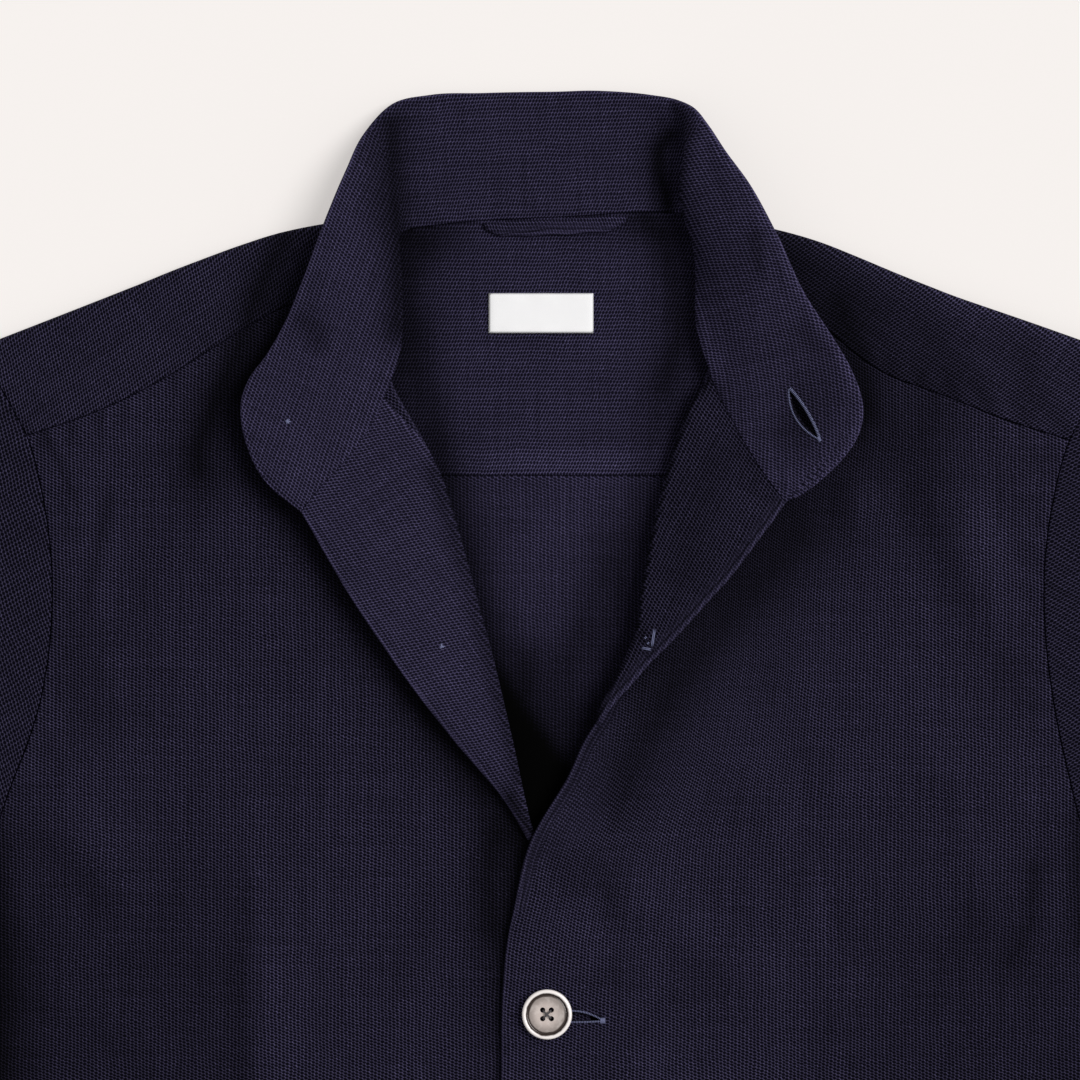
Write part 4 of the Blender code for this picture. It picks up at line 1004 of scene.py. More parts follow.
def front_sheet(edge_knots, side, step):
    """Points on the middle of a front's wall, without folds."""
    table = front_lines(edge_knots, side, step)
    seam = yoke_front_seam()
    seam_lengths = running_length(seam)
    rows = []
    widths = np.hypot(table[:, 3] - side * table[:, 0], table[:, 4] - table[:, 1])
    goals = spacing(widths.max(), SEAM_SPACING, EDGE_SPACING, step)
    for (ox, oy, outer_level, ix, iy, inner_level, toward_top), width in zip(table, widths):
        share = fitted(goals, widths.max(), SEAM_SPACING, EDGE_SPACING, width) / width
        flat = np.stack([ox + (side * ix - ox) * share, oy + (iy - oy) * share], -1)
        chord = seam[0] + (seam[-1] - seam[0]) * share[:, None]
        on_seam = along_line(seam, seam_lengths, share * seam_lengths[-1])
        flat += (on_seam - chord) * toward_top
        x, y = side * flat[:, 0], flat[:, 1]
        level = chest_level(x, y)
        to_inner = np.hypot(x - ix, y - iy)
        to_outer = np.hypot(flat[:, 0] - ox, y - oy)
        reach = ROLL_REACH * (.5 if side < 0 and iy >= 80 else 1)
        level += (inner_level - chest_level(ix, iy)) * bell(to_inner, reach)
        level += (outer_level - chest_level(ox, oy)) * bell(to_outer, SEAM_REACH)
        level += (YOKE_SEAM_LEVEL - level) * toward_top ** 2
        if side < 0:
            under = smooth_step(*UNDERLAP_X, x) * smooth_step(*UNDERLAP_Y, y)
            level += (np.minimum(level, UNDERLAP_LEVEL) - level) * under
        else:
            over = smooth_step(*OVERLAP_X, x) * smooth_step(*OVERLAP_Y, y)
            level += (np.maximum(level, OVERLAP_LEVEL) - level) * over
        rows.append(np.stack([x, y, level], -1))
    sheet = np.array(rows)
    sheet[..., 1] -= SEAM_GAP * bell(edge_distances(sheet)[1], 3)
    return sheet


def front_part(edge_knots, side, break_y, step):
    """One front: folds, puckers along its seams and the stitched front edge."""
    sheet = settled(front_sheet(edge_knots, side, step))
    if side > 0:
        sheet = sheet[:, ::-1]
    hem, yoke, left, right = edges_of(sheet)
    inner, outer = (left, right) if side > 0 else (right, left)
    x, y = sheet[..., 0], sheet[..., 1]
    wall_size = bpy.context.scene.jacket_cloth.wall / MM
    free = (1 - bell(inner, 26)) * (1 - bell(outer, SEAM_REACH)) * (1 - bell(yoke, 24))
    if side < 0:
        free *= 1 - smooth_step(UNDERLAP_X[0], -30, x) * smooth_step(*UNDERLAP_Y, y)
    relief = fold_relief(x, y, FRONT_FOLDS) + fold_relief(x, y, FINE_FRONT_FOLDS)
    relief = relief * free
    relief += pucker(x, yoke, .30, 12, 2.0 + side, 4, 5)
    relief += pucker(y, outer, .35, 17, .7 + side, 5, 7) * smooth_step(0, 40, y)
    if side > 0:
        relief += pucker(y, inner, .22, 34, .4, 9, 9) * smooth_step(60, 0, y)
    sheet[..., 2] += relief
    closed_edge = smooth_step(break_y + 6, break_y - 6, y)
    wall = wall_size * turned(wall_size, hem, inner) * seamed(yoke) * seamed(outer)
    corded = closed_edge * (.25 + .75 * smooth_step(28, 72, y))
    wall *= stitched(inner, corded) * stitched(hem)
    run = edge_distances(sheet)[0]
    band = (inner < STITCH_DISTANCE + .01) & (corded > .6), np.stack([inner, run], -1)
    edge = np.where(corded > .6, inner + 12 * (1 - closed_edge), plain_rim(inner, 1.2))
    edge = np.minimum(edge, hem)
    grain = plain_grain(sheet)
    if side > 0:
        front = even_curve([knot[:2] for knot in edge_knots], 400)
        drawn = np.interp(y, front[:, 1], front[:, 0]) + LAP
        grain[..., 0] -= np.clip(drawn, 0, 30) * bell(inner, 50)
        width = np.interp(y, *zip(*TURNED_BAND))
        smooth = PRESSED + 3 * np.clip(inner - width, 0, 1)
        edge = np.where(inner > PRESSED, np.minimum(edge, smooth), edge)
    # painted shadows beside the lapel, collar and front edges and in the hollows
    if side < 0:
        lines = [(plan_line(RIGHT_LAPEL_EDGE), .8, 13), (collar_tops(0, 9), .75, 9),
                 (plan_line(LEFT_FRONT_EDGE, HEM_Y, -2), .3, 7),
                 (plan_line(LEFT_FRONT_EDGE, -2, 84), .76, 8), *RIGHT_SHADOWS]
    else:
        lines = [(plan_line(LEFT_LAPEL_EDGE, 150), .6, 22), (collar_tops(25, 32), .5, 22),
                 (collar_tops(25, 31), .6, 4), *LEFT_SHADOWS]
    shade = paint_shade(sheet, lines, FRONT_LIGHT_PATCHES)
    # painted shade down the sides; the left front's colour is painted lighter
    shade *= 1 - SIDE_DEPTH * smooth_step(*SIDE_X, np.abs(x)) * smooth_step(*SIDE_Y, y)
    shade *= LEFT_FRONT_LIGHT if side > 0 else 1.0
    return shell_part(sheet, wall, grain, edge, bands=[band], shade=shade)


def lapel_part(roll_knots, edge_knots, front_knots, bow, lean, cord, spread, shadows):
    """Turned-out facing: from its stitched edge to the roll, and round it under itself.
    bow is how far its upper seam curves away from the collar, lean the turn of its yarns, cord
    the height of its corded rim and spread how far its edge and its roll lie out."""
    steps = np.linspace(0, 1, 80)
    roll, edge = curve_points(roll_knots, steps), curve_points(edge_knots, steps)
    front = even_curve(front_knots, 1201)
    chord = (edge[-1] - roll[-1])[:2] / np.linalg.norm((edge[-1] - roll[-1])[:2])
    away = np.array([-chord[1], chord[0], 0]) * bow
    lines = []
    for start, end, share in zip(edge, roll, steps):
        inward = end[:2] - start[:2]
        width = np.linalg.norm(inward)
        inward = inward / width
        middle = smooth_step(0, .12, share)
        start[:2] -= inward * spread[0] * smooth_step(.3, .55, share)
        end[:2] += inward * spread[1] * middle * smooth_step(1, .9, share)
        nearest = front[np.argmin(np.hypot(front[:, 0] - end[0], front[:, 1] - end[1]))]
        radius = max(.5, (end[2] - nearest[2]) / 2)
        pull = min(radius + FACING_WALL / 2, width * .5)
        top = np.array([*(end[:2] - inward * pull), end[2]])
        line = [start + (top - start) * g for g in np.linspace(0, 1, 24)]
        swell = .5 * math.sin(math.pi * min(1.0, width / 30))
        for i, g in enumerate(np.linspace(0, 1, 24)):
            line[i] = line[i] + away * (4 * g * (1 - g) * share ** 4)
            line[i] = line[i] + np.array([0, 0, swell * math.sin(math.pi * g)])
        for turn in np.radians(ROLL_TURNS):
            spot = top[:2] + inward * radius * math.cos(turn)
            line.append(np.array([*spot, top[2] - radius + radius * math.sin(turn)]))
        line.append(np.array([*(top[:2] - inward * min(2.0, width * .3)), top[2] - 2 * radius]))
        lines.append(line)
    sheet = np.array(lines)
    collar = even_curve([seam for seam, _, _ in COLLAR_STATIONS], 1201)
    pull = collar[np.argmin(np.linalg.norm(sheet[-1][:, None] - collar, axis=2), 1)] - sheet[-1]
    far = np.linalg.norm(pull, axis=1, keepdims=True)
    pull *= np.clip(1 - SEAM_CREVICE / far, 0, 1) * smooth_step(4.5, 3, far)
    sheet += pull * (steps ** 14)[:, None, None]
    sheet = respaced(sheet, (EDGE_SPACING, TUCKED_SPACING), SEAM_ENDS, FINE_STEP)
    low, top, outer, tucked = edges_of(sheet)
    wall = FACING_WALL * turned(FACING_WALL, low, outer, tucked)
    wall *= seamed(top, .08) * stitched(outer, cord)
    sheet[..., 2] += pucker(low, outer, .2, 19, 1.1, 8, 6) * smooth_step(0, 25, low)
    # painted light and shade on the lapel: painted shadows, its colour lightened, less for a higher
    # cord, and a painted highlight along its outer edge
    shade = paint_shade(sheet, shadows, contrast=.8)
    shade *= (1.1 - .08 * cord) * (1 + .35 * smooth_step(1.8, .6, outer))
    edge = outer if cord > .5 else plain_rim(outer, 1.6)
    return shell_part(sheet, wall, plain_grain(sheet, math.radians(lean)), edge, shade=shade)


def collar_part():
    """Stand collar: the back lies flat past the neck seam, its two ends are folded outward."""
    rise = np.linspace(0, 1, 30)
    swell = np.sin(math.pi * rise ** .75)[:, None]
    lines = []
    for seam, top, crown in COLLAR_STATIONS:
        seam, top, crown = (np.array(p, float) for p in (seam, top, crown))
        lines.append(seam + (top - seam) * rise[:, None] + crown * swell)
    sheet = refine(np.array(lines), FINE_STEP)
    sheet = respaced(sheet, (SEAM_SPACING, EDGE_SPACING), SEAM_ENDS, FINE_STEP)
    right_end, left_end, seam, top = edges_of(sheet)
    x, y = sheet[..., 0], sheet[..., 1]
    relief = fold_relief(x, y, COLLAR_FOLDS) * (1 - bell(seam, 8)) * (1 - bell(top, 5))
    relief += pucker(right_end, top, .25, 21, .6, 7, 5)
    relief += pucker(right_end, seam, .22, 14, 1.9, 4, 4)
    sheet = sheet + sheet_normals(sheet, False) * relief[..., None]
    middles = np.array([(np.array(a) + b) / 2 for a, b, _ in COLLAR_STATIONS])
    run = right_end.mean(1) / right_end.mean(1)[-1]
    station = np.interp(run, running_length(middles) / running_length(middles)[-1],
                        range(len(middles)))
    sheet[..., 0] -= 1.5 * bell(seam, 7) * smooth_step(20.8, 22.5, station)[:, None] \
        * smooth_step(245, 262, y)
    wall = COLLAR_WALL * turned(COLLAR_WALL, right_end, left_end, top) * stitched(top, .25)
    wall *= seamed(seam, .08 + .3 * smooth_step(66, 56, np.abs(x)))
    right, grain, left = (turned_grain(sheet, np.radians(np.interp(station, *zip(*turns))))
                          for turns in COLLAR_TURNS)
    rim = np.where(x > 40, 3.9, 2.3)
    bands = ((station < COLLAR_BREAKS[0])[:, None] & (top >= 0), right), \
        ((station > COLLAR_BREAKS[1])[:, None] & (top >= 0), left)
    # painted light and shade on the collar: painted shadows and light patches, lighter ends, a
    # lighter band beside the steep seam of the left end and a painted highlight along the rim
    shade = paint_shade(sheet, COLLAR_SHADOWS, COLLAR_LIGHT_PATCHES, contrast=.35)
    shade *= 1.04 + .12 * smooth_step(58, 72, np.abs(x))
    shade *= 1 + .7 * bell(seam, 6) * smooth_step(19.8, 20.8, station)[:, None] \
        * smooth_step(256, 274, y)
    shade *= 1 + np.where(x > 40, .42, .2) * smooth_step(rim, rim * .6, top)
    return shell_part(sheet, wall, grain, plain_rim(top, .7), bands=bands, shade=shade)


def outset(points):
    """The armhole moved out by the seam gap, for the sleeve's own edge."""
    last = len(points) - 1
    place = np.arange(len(points))
    along = points[np.minimum(place + 1, last)] - points[np.maximum(place - 1, 0)]
    normal = np.stack([-along[:, 1], along[:, 0]], -1)
    normal /= np.linalg.norm(normal, axis=1, keepdims=True)
    fold = np.where(place < 2, .3 * BACK_WALL, np.where(last - place < 2, 2 * BACK_WALL, 0))
    return points + normal * (SEAM_GAP + fold)[:, None]


def cap_level(step):
    """Level of the sleeve's upper layer at the armhole, beside the yoke and the front."""
    yoke_end = FRONT_STEPS[FRONT_YOKE_STEP]
    shoulder_level = YOKE_LEVEL + 2 * YOKE_FOLD_RADIUS
    if step < yoke_end:
        return shoulder_level + (YOKE_SEAM_LEVEL - shoulder_level) * step / yoke_end
    level = YOKE_SEAM_LEVEL + (CHEST_LEVEL - YOKE_SEAM_LEVEL) * smooth_step(yoke_end, .3, step)
    return level + (SIDE_LEVEL - CHEST_LEVEL) * smooth_step(.75, 1, step)


def sleeve_part(side, folds, step):
    """Flattened open tube, from the armhole to the cuff."""
    front = outset(curve_points(ARMHOLE_FRONT, FRONT_STEPS))
    back = outset(curve_points(ARMHOLE_BACK, BACK_STEPS))
    ring_steps = [(s, True) for s in FRONT_STEPS] + [(s, False) for s in BACK_STEPS[-2:0:-1]]
    outer = curve_points(SLEEVE_OUTER, SLEEVE_ROWS)
    inner = curve_points(SLEEVE_INNER, [share ** UNDERARM_LAG for share in SLEEVE_ROWS])
    front[0] = back[0] = outer[0]
    front[-1] = back[-1] = inner[0]
    armhole = np.concatenate([front, back[-2:0:-1]])
    rows = []
    for share, top, foot in zip(SLEEVE_ROWS, outer, inner):
        fade = max(0.0, 1 - share / CAP_REACH) ** 2
        row = []
        for (place, on_front), seam_point in zip(ring_steps, armhole):
            flat = top + (foot - top) * place
            flat = flat + (seam_point - front[0] - (front[-1] - front[0]) * place) * fade
            loft = SLEEVE_LOFT
            if place in (0, 1):
                loft /= 2
            elif on_front:
                loft += (cap_level(place) - BACK_LEVEL - loft) * fade ** 2
            else:
                loft = 0
            row.append((flat[0], flat[1], BACK_LEVEL + loft))
        rows.append(row)
    sheet = refine(across(refine(np.array(rows), step)), step, closed=True)
    sheet = respace(across(sheet), SEAM_SPACING, EDGE_SPACING, step)
    sheet[..., 0] *= side
    sheet = settled(sheet if side > 0 else sheet[:, ::-1])
    cap, cuff = edge_distances(sheet)
    x, y, z = (sheet[..., i] for i in range(3))
    upper = smooth_step(BACK_LEVEL + .9, BACK_LEVEL + SLEEVE_LOFT - .3, z)
    relief = fold_relief(np.abs(x), y, folds) * upper * (1 - bell(cap, 26))
    relief += pucker(y, cap, .35, 16, 1.7 + side, 5, 7) * upper
    sheet[..., 2] = z + relief
    wall = BACK_WALL * seamed(cap) * rounded(cuff, BACK_WALL) * stitched(cuff)
    # painted shade: dark bands near the armholes and the sleeves' colour darkened
    shade = paint_shade(sheet, light_patches=SLEEVE_LIGHT_PATCHES, closed=True) * SLEEVE_LIGHT
    down = cap.mean(1) / cap.mean(1)[-1]
    turns = side * np.radians(np.interp(down, *zip(*SLEEVE_TURNS)))
    return shell_part(sheet, wall, turned_grain(sheet, turns), cuff, closed=True, shade=shade)


def loop_part():
    """Folded strip that hangs from the neck seam against the yoke."""
    drops = np.linspace(0, 1, 15)
    shares = np.linspace(-1, 1, 49)
    level = YOKE_WALL + .5 + LOOP_WALL / 2
    half = np.interp(drops, (0, .5, 1), (LOOP_TOP_HALF, LOOP_TOP_HALF - 1.5, LOOP_FOOT_HALF))
    sag = LOOP_SAG * (1 - shares[None] ** 2) * drops[:, None]
    x = LOOP_CENTRE_X + half[:, None] * shares[None]
    y = LOOP_TOP_Y + LOOP_SLOPE * x - LOOP_WIDTH * drops[:, None] - sag
    y += .25 * uneven(x, 17, .4) * drops[:, None]
    z = level + .7 * (1 - shares[None] ** 2) + 0 * x
    sheet = np.stack([x, y, z], -1)[:, ::-1]
    top, foot, left, right = edges_of(sheet)
    wall = LOOP_WALL * turned(LOOP_WALL, top, foot, left, right)
    wall *= 1 - .3 * bell(foot - 1.4, .5)
    return shell_part(sheet, wall, np.stack([sheet[..., 1], sheet[..., 0]], -1), foot)


def label_part():
    """Woven label, bare, with its two short ends folded under."""
    (x, y), (width, height) = LABEL_CENTRE, LABEL_SIZE
    across_shares, up_shares = np.linspace(-.5, .5, 43), np.linspace(-.5, .5, 17)
    px, py = np.meshgrid(x + width * across_shares, y + height * up_shares)
    level = YOKE_WALL + .35 + LABEL_WALL / 2
    end = np.minimum(px - px.min(), px.max() - px)
    rim = np.minimum(py - py.min(), py.max() - py)
    pz = level + pucker(px, rim, .10, 15, .9, 0, 4) + .18 * smooth_step(0, 3, end)
    sheet = np.stack([px, py, pz], -1)
    wall = LABEL_WALL * turned(LABEL_WALL, end, rim)
    return shell_part(sheet, wall, plain_grain(sheet), end)


# Finishes -------------------------------------

def place(tree, kind, **settings):
    node = tree.nodes.new(kind)
    for name, value in settings.items():
        setattr(node, name, value)
    return node


def feed(tree, node, values):
    """Sets or links the inputs of a node, by name or number."""
    for key, value in values.items():
        if isinstance(value, bpy.types.NodeSocket):
            tree.links.new(value, node.inputs[key])
        else:
            node.inputs[key].default_value = value
    return node


def calc(tree, operation, *values):
    node = place(tree, "ShaderNodeMath", operation=operation)
    return feed(tree, node, dict(enumerate(values))).outputs[0]


def vector_calc(tree, operation, *values):
    node = place(tree, "ShaderNodeVectorMath", operation=operation)
    return feed(tree, node, dict(enumerate(values))).outputs[0]


def scaled(tree, vector, factor):
    made = vector_calc(tree, "SCALE", vector)
    feed(tree, made.node, {"Scale": factor})
    return made


def uv_map(tree, name):
    return place(tree, "ShaderNodeUVMap", uv_map=name).outputs[0]


def attribute(tree, name):
    return place(tree, "ShaderNodeAttribute", attribute_name=name).outputs["Fac"]


def bumped(tree, height, strength, distance):
    return feed(tree, place(tree, "ShaderNodeBump"),
                {"Height": height, "Strength": strength, "Distance": distance}).outputs[0]


def new_material(name):
    """A material with its node tree and its shader."""
    material = bpy.data.materials.new(name)
    material.use_nodes = True
    return material, material.node_tree, material.node_tree.nodes["Principled BSDF"]


def noise(tree, vector, scale, detail=2.0, roughness=.5):
    node = place(tree, "ShaderNodeTexNoise", noise_dimensions="3D")
    feed(tree, node, {"Vector": vector, "Scale": scale, "Detail": detail,
                      "Roughness": roughness})
    return node


def ramp(tree, value, low, high, to_low=0.0, to_high=1.0):
    node = place(tree, "ShaderNodeMapRange", interpolation_type="SMOOTHSTEP", clamp=True)
    feed(tree, node, {"Value": value, "From Min": low, "From Max": high,
                      "To Min": to_low, "To Max": to_high})
    return node.outputs[0]


def mix_colour(tree, share, first, second):
    node = place(tree, "ShaderNodeMix", data_type="RGBA")
    feed(tree, node, {0: share, 6: first, 7: second})
    return node.outputs[2]


def group(name, inputs, outputs):
    """An empty shader node group with named sockets."""
    tree = bpy.data.node_groups.new(name, "ShaderNodeTree")
    for socket, kind, default in inputs:
        made = tree.interface.new_socket(socket, in_out="INPUT", socket_type=kind)
        if default is not None:
            made.default_value = default
    for socket, kind in outputs:
        tree.interface.new_socket(socket, in_out="OUTPUT", socket_type=kind)
    return tree, tree.nodes.new("NodeGroupInput"), tree.nodes.new("NodeGroupOutput")


def use_group(tree, name, values):
    node = place(tree, "ShaderNodeGroup", node_tree=bpy.data.node_groups[name])
    return feed(tree, node, values)


def build_weave():
    """Columns of hollows between raised cords, each column half a hollow off the next, and the
    glints of single fibres."""
    tree, start, end = group(
        "pique_weave",
        (("Grain", "NodeSocketVector", None), ("Column Pitch", "NodeSocketFloat", .00147),
         ("Row Pitch", "NodeSocketFloat", .00124), ("Unevenness", "NodeSocketFloat", 1.0)),
        (("Cord", "NodeSocketFloat"), ("Streak", "NodeSocketFloat"),
         ("Glint", "NodeSocketFloat")))
    grain, columns, rows, unevenness = start.outputs[:4]
    moved = grain
    for scale, reach in YARN_WANDER:
        way = vector_calc(tree, "SUBTRACT", noise(tree, grain, scale, 1).outputs["Color"],
                          (.5, .5, .5))
        way = scaled(tree, way, calc(tree, "MULTIPLY", unevenness, reach))
        moved = vector_calc(tree, "ADD", moved, way)
    split = feed(tree, place(tree, "ShaderNodeSeparateXYZ"), {0: moved})
    turn = calc(tree, "DIVIDE", calc(tree, "MULTIPLY", split.outputs[0], math.pi), columns)
    rise = calc(tree, "DIVIDE", calc(tree, "MULTIPLY", split.outputs[1], 2 * math.pi), rows)
    down = calc(tree, "COSINE", calc(tree, "ADD", turn, rise))
    up = calc(tree, "COSINE", calc(tree, "SUBTRACT", turn, rise))
    stripe = calc(tree, "COSINE", calc(tree, "MULTIPLY", turn, 2.0))
    hollow = calc(tree, "MULTIPLY_ADD", down, WEAVE_ROWS[0],
                  calc(tree, "MULTIPLY", up, WEAVE_ROWS[1]))
    hollow = calc(tree, "MULTIPLY_ADD", stripe, WEAVE_ROWS[2], hollow)
    cord = ramp(tree, hollow, *CORD_RISE, 1.0, 0.0)
    feed(tree, end, {"Cord": cord})
    # painted highlights: glints of single fibres, as bright spots on the cords
    spark = noise(tree, vector_calc(tree, "MULTIPLY", moved, (1.0, .8, 1)), 1150, 1).outputs[0]
    feed(tree, end, {"Glint": calc(tree, "MULTIPLY", cord, ramp(tree, spark, .54, .78))})
    long_way = vector_calc(tree, "MULTIPLY", grain, (760, 26, 1))
    cross_way = vector_calc(tree, "MULTIPLY", grain, (22, 820, 1))
    streak = calc(tree, "ADD", noise(tree, long_way, 1.0, 2).outputs[0],
                  noise(tree, cross_way, 1.0, 2).outputs[0])
    feed(tree, end, {"Streak": calc(tree, "SUBTRACT", streak, 1.0)})


def build_mottle():
    """Broad and fine unevenness of dye and fibre, round 1."""
    tree, start, end = group(
        "cloth_mottle",
        (("Grain", "NodeSocketVector", None), ("Amount", "NodeSocketFloat", .3)),
        (("Factor", "NodeSocketFloat"), ("Fibre", "NodeSocketFloat")))
    grain, amount = start.outputs[:2]
    broad = calc(tree, "SUBTRACT", noise(tree, grain, 38, 3, .6).outputs[0], .5)
    fibre = calc(tree, "SUBTRACT", noise(tree, grain, 2600, 2, .6).outputs[0], .5)
    both = calc(tree, "ADD", broad, calc(tree, "MULTIPLY", fibre, .9))
    feed(tree, end, {"Factor": calc(tree, "MULTIPLY_ADD", both, amount, 1.0), "Fibre": fibre})


def build_edge_press_light():
    """Where a finished edge is near: the yarns lie pressed and closed up, the corded rim gets a
    painted highlight and the grooves of stitches painted shade.
    """
    tree, start, end = group(
        "edge_press_light", (("Reach", "NodeSocketFloat", .006),),
        (("Pressed", "NodeSocketFloat"), ("Light", "NodeSocketFloat")))
    distance = attribute(tree, "edge_distance")
    pressed = ramp(tree, distance, calc(tree, "MULTIPLY", start.outputs[0], .8), start.outputs[0],
                   1.0, 0.0)
    off = calc(tree, "ABSOLUTE", calc(tree, "SUBTRACT", distance, RIM * MM))
    groove = ramp(tree, off, *GROOVE_FADE, 1.0, 0.0)
    cord = ramp(tree, distance, (RIM - .5) * MM, RIM * MM, 1.0, 0.0)
    again = calc(tree, "ABSOLUTE", calc(tree, "SUBTRACT", distance, (RIM + 1.9) * MM))
    # the pressed band a little lighter from its closed yarns; the corded rim a painted highlight
    light = calc(tree, "MULTIPLY_ADD", pressed, .06, calc(tree, "MULTIPLY", cord, .30))
    # painted shade: darker in the grooves of stitches
    light = calc(tree, "MULTIPLY_ADD", groove, -.60, light)
    light = calc(tree, "MULTIPLY_ADD", ramp(tree, again, *GROOVE_FADE, 1.0, 0.0), -.28, light)
    feed(tree, end, {"Pressed": pressed, "Light": light})


def cloth_material(name, cord_colour, pit_colour, contrast=.94, depth=.00030, sheen=.02):
    """Navy textured cloth: cords over dark hollows, streaked yarns and pressed edges, with painted
    glints, painted light and shade along stitched edges, and the painted shade of each point.
    """
    cloth = bpy.context.scene.jacket_cloth
    material, tree, shader = new_material(name)
    grain = uv_map(tree, "grain")
    weave = use_group(tree, "pique_weave", {"Grain": grain, "Column Pitch": cloth.column_pitch,
                                            "Row Pitch": cloth.row_pitch, "Unevenness": 1.0})
    mottle = use_group(tree, "cloth_mottle", {"Grain": grain, "Amount": .42})
    press_light = use_group(tree, "edge_press_light", {"Reach": STITCH_DISTANCE * MM})
    open_share = calc(tree, "MULTIPLY_ADD", press_light.outputs["Pressed"], -.35 * contrast, contrast)
    relief = calc(tree, "SUBTRACT", weave.outputs["Cord"], CORD_MEAN)
    share = calc(tree, "MULTIPLY_ADD", relief, open_share, CORD_MEAN)
    tone = mix_colour(tree, share, (*pit_colour, 1), (*cord_colour, 1))
    streak = calc(tree, "MULTIPLY_ADD", weave.outputs["Streak"], .8, mottle.outputs["Factor"])
    # painted highlights: glints on the cords
    streak = calc(tree, "MULTIPLY_ADD", weave.outputs["Glint"], 1.5 * contrast, streak)
    lift = calc(tree, "ADD", press_light.outputs["Light"], streak)
    # painted light and shade: the colour is scaled by the shade attribute
    tone = scaled(tree, tone, calc(tree, "MULTIPLY", lift, attribute(tree, "shade")))
    height = calc(tree, "MULTIPLY_ADD", mottle.outputs["Fibre"], .35, share)
    bump = bumped(tree, height, .55, depth)
    feed(tree, shader, {"Base Color": tone, "Normal": bump, "Roughness": .88,
                        "Specular IOR Level": .04, "Sheen Weight": sheen,
                        "Sheen Roughness": .45, "Sheen Tint": (.30, .28, .50, 1)})
    return material


def label_material():
    """White ribbon weave: fine ribs across and a slightly brighter selvedge."""
    material, tree, shader = new_material("label_weave")
    grain = uv_map(tree, "grain")
    weave = use_group(tree, "pique_weave", {"Grain": grain, "Column Pitch": .00042,
                                            "Row Pitch": .00056, "Unevenness": .35})
    mottle = use_group(tree, "cloth_mottle", {"Grain": grain, "Amount": .10})
    label = bpy.context.scene.jacket_cloth.label
    low = [channel * .90 for channel in label]
    tone = mix_colour(tree, weave.outputs["Cord"], (*low, 1), (*label, 1))
    tone = scaled(tree, tone, mottle.outputs["Factor"])
    bump = bumped(tree, weave.outputs["Cord"], .3, FINE_BUMP)
    feed(tree, shader, {"Base Color": tone, "Normal": bump, "Roughness": .7,
                        "Specular IOR Level": .2})
    return material


def thread_material(name, tone):
    """Twisted sewing thread."""
    material, tree, shader = new_material(name)
    spot = place(tree, "ShaderNodeTexCoord").outputs["Object"]
    mottle = use_group(tree, "cloth_mottle", {"Grain": spot, "Amount": .5})
    mixed = scaled(tree, tuple(tone), mottle.outputs["Factor"])
    bump = bumped(tree, mottle.outputs["Fibre"], .4, FINE_BUMP)
    feed(tree, shader, {"Base Color": mixed, "Normal": bump, "Roughness": .55,
                        "Specular IOR Level": .35})
    return material


def button_material(colours):
    """Polished rim whose pale colour is a painted reflection of the light, dark groove and a
    brushed, slightly cloudy dish, darker toward its border.
    """
    material, tree, shader = new_material("button_shell")
    face = uv_map(tree, "face")
    away = vector_calc(tree, "LENGTH", face).node.outputs["Value"]
    cloud = noise(tree, face, 260, 4, .6).outputs[0]
    grit = noise(tree, face, 1800, 3, .6).outputs[0]
    # the dish is darker toward its border
    cloudy_radius = calc(tree, "MULTIPLY_ADD", calc(tree, "SUBTRACT", cloud, .5), .0012, away)
    dish = mix_colour(tree, ramp(tree, cloudy_radius, .0030, .0068, 0, 1), (*colours.dish, 1),
                      tuple(channel * .55 for channel in colours.dish) + (1,))
    dish = mix_colour(tree, calc(tree, "MULTIPLY", ramp(tree, cloud, .42, .68), .38), dish,
                      (.80, .72, .68, 1))
    groove = ramp(tree, calc(tree, "ABSOLUTE", calc(tree, "SUBTRACT", cloudy_radius, GROOVE_RADIUS)),
                  .00040, .00105, 1, 0)
    tone = mix_colour(tree, ramp(tree, away, GROOVE_RADIUS, .0084), dish, (*colours.rim, 1))
    tone = mix_colour(tree, groove, tone, (*colours.groove, 1))
    roughness = calc(tree, "MULTIPLY_ADD", cloud, .22, .18)
    feed(tree, shader, {"Base Color": tone, "Normal": bumped(tree, grit, .18, FINE_BUMP),
                        "Roughness": roughness, "Metallic": .12})
    return material


def floor_material():
    material, tree, shader = new_material("pale_floor")
    floor = bpy.context.scene.jacket_studio.floor
    spot = place(tree, "ShaderNodeTexCoord").outputs["Object"]
    cloud = calc(tree, "MULTIPLY_ADD", noise(tree, spot, 3, 2).outputs[0], .012, .994)
    tone = scaled(tree, tuple((1 - FLOOR_GLOW) * channel for channel in floor), cloud)
    feed(tree, shader, {"Base Color": tone, "Roughness": .9, "Specular IOR Level": 0.0,
                        "Emission Color": (*floor, 1), "Emission Strength": FLOOR_GLOW})
    return material


def build_materials():
    cloth, buttons = bpy.context.scene.jacket_cloth, bpy.context.scene.jacket_buttons
    build_weave()
    build_mottle()
    build_edge_press_light()
    cloth_material("navy_pique", cloth.cord, cloth.pit)
    # painted light: the same cloth in a lighter copy for the pieces that take more light
    cloth_material("navy_pique_lit", cloth.lit_cord, cloth.pit, contrast=.8)
    cloth_material("navy_pique_inside", cloth.inside_cord, cloth.pit, contrast=.72, depth=.0002)
    label_material()
    thread_material("buttonhole_thread", cloth.thread)
    thread_material("sewing_thread", buttons.thread)
    button_material(buttons)


# Buttons and sewing ---------------------------

def clear_selection():
    if bpy.context.mode != "OBJECT":
        bpy.ops.object.mode_set(mode="OBJECT")
    bpy.ops.object.select_all(action="DESELECT")


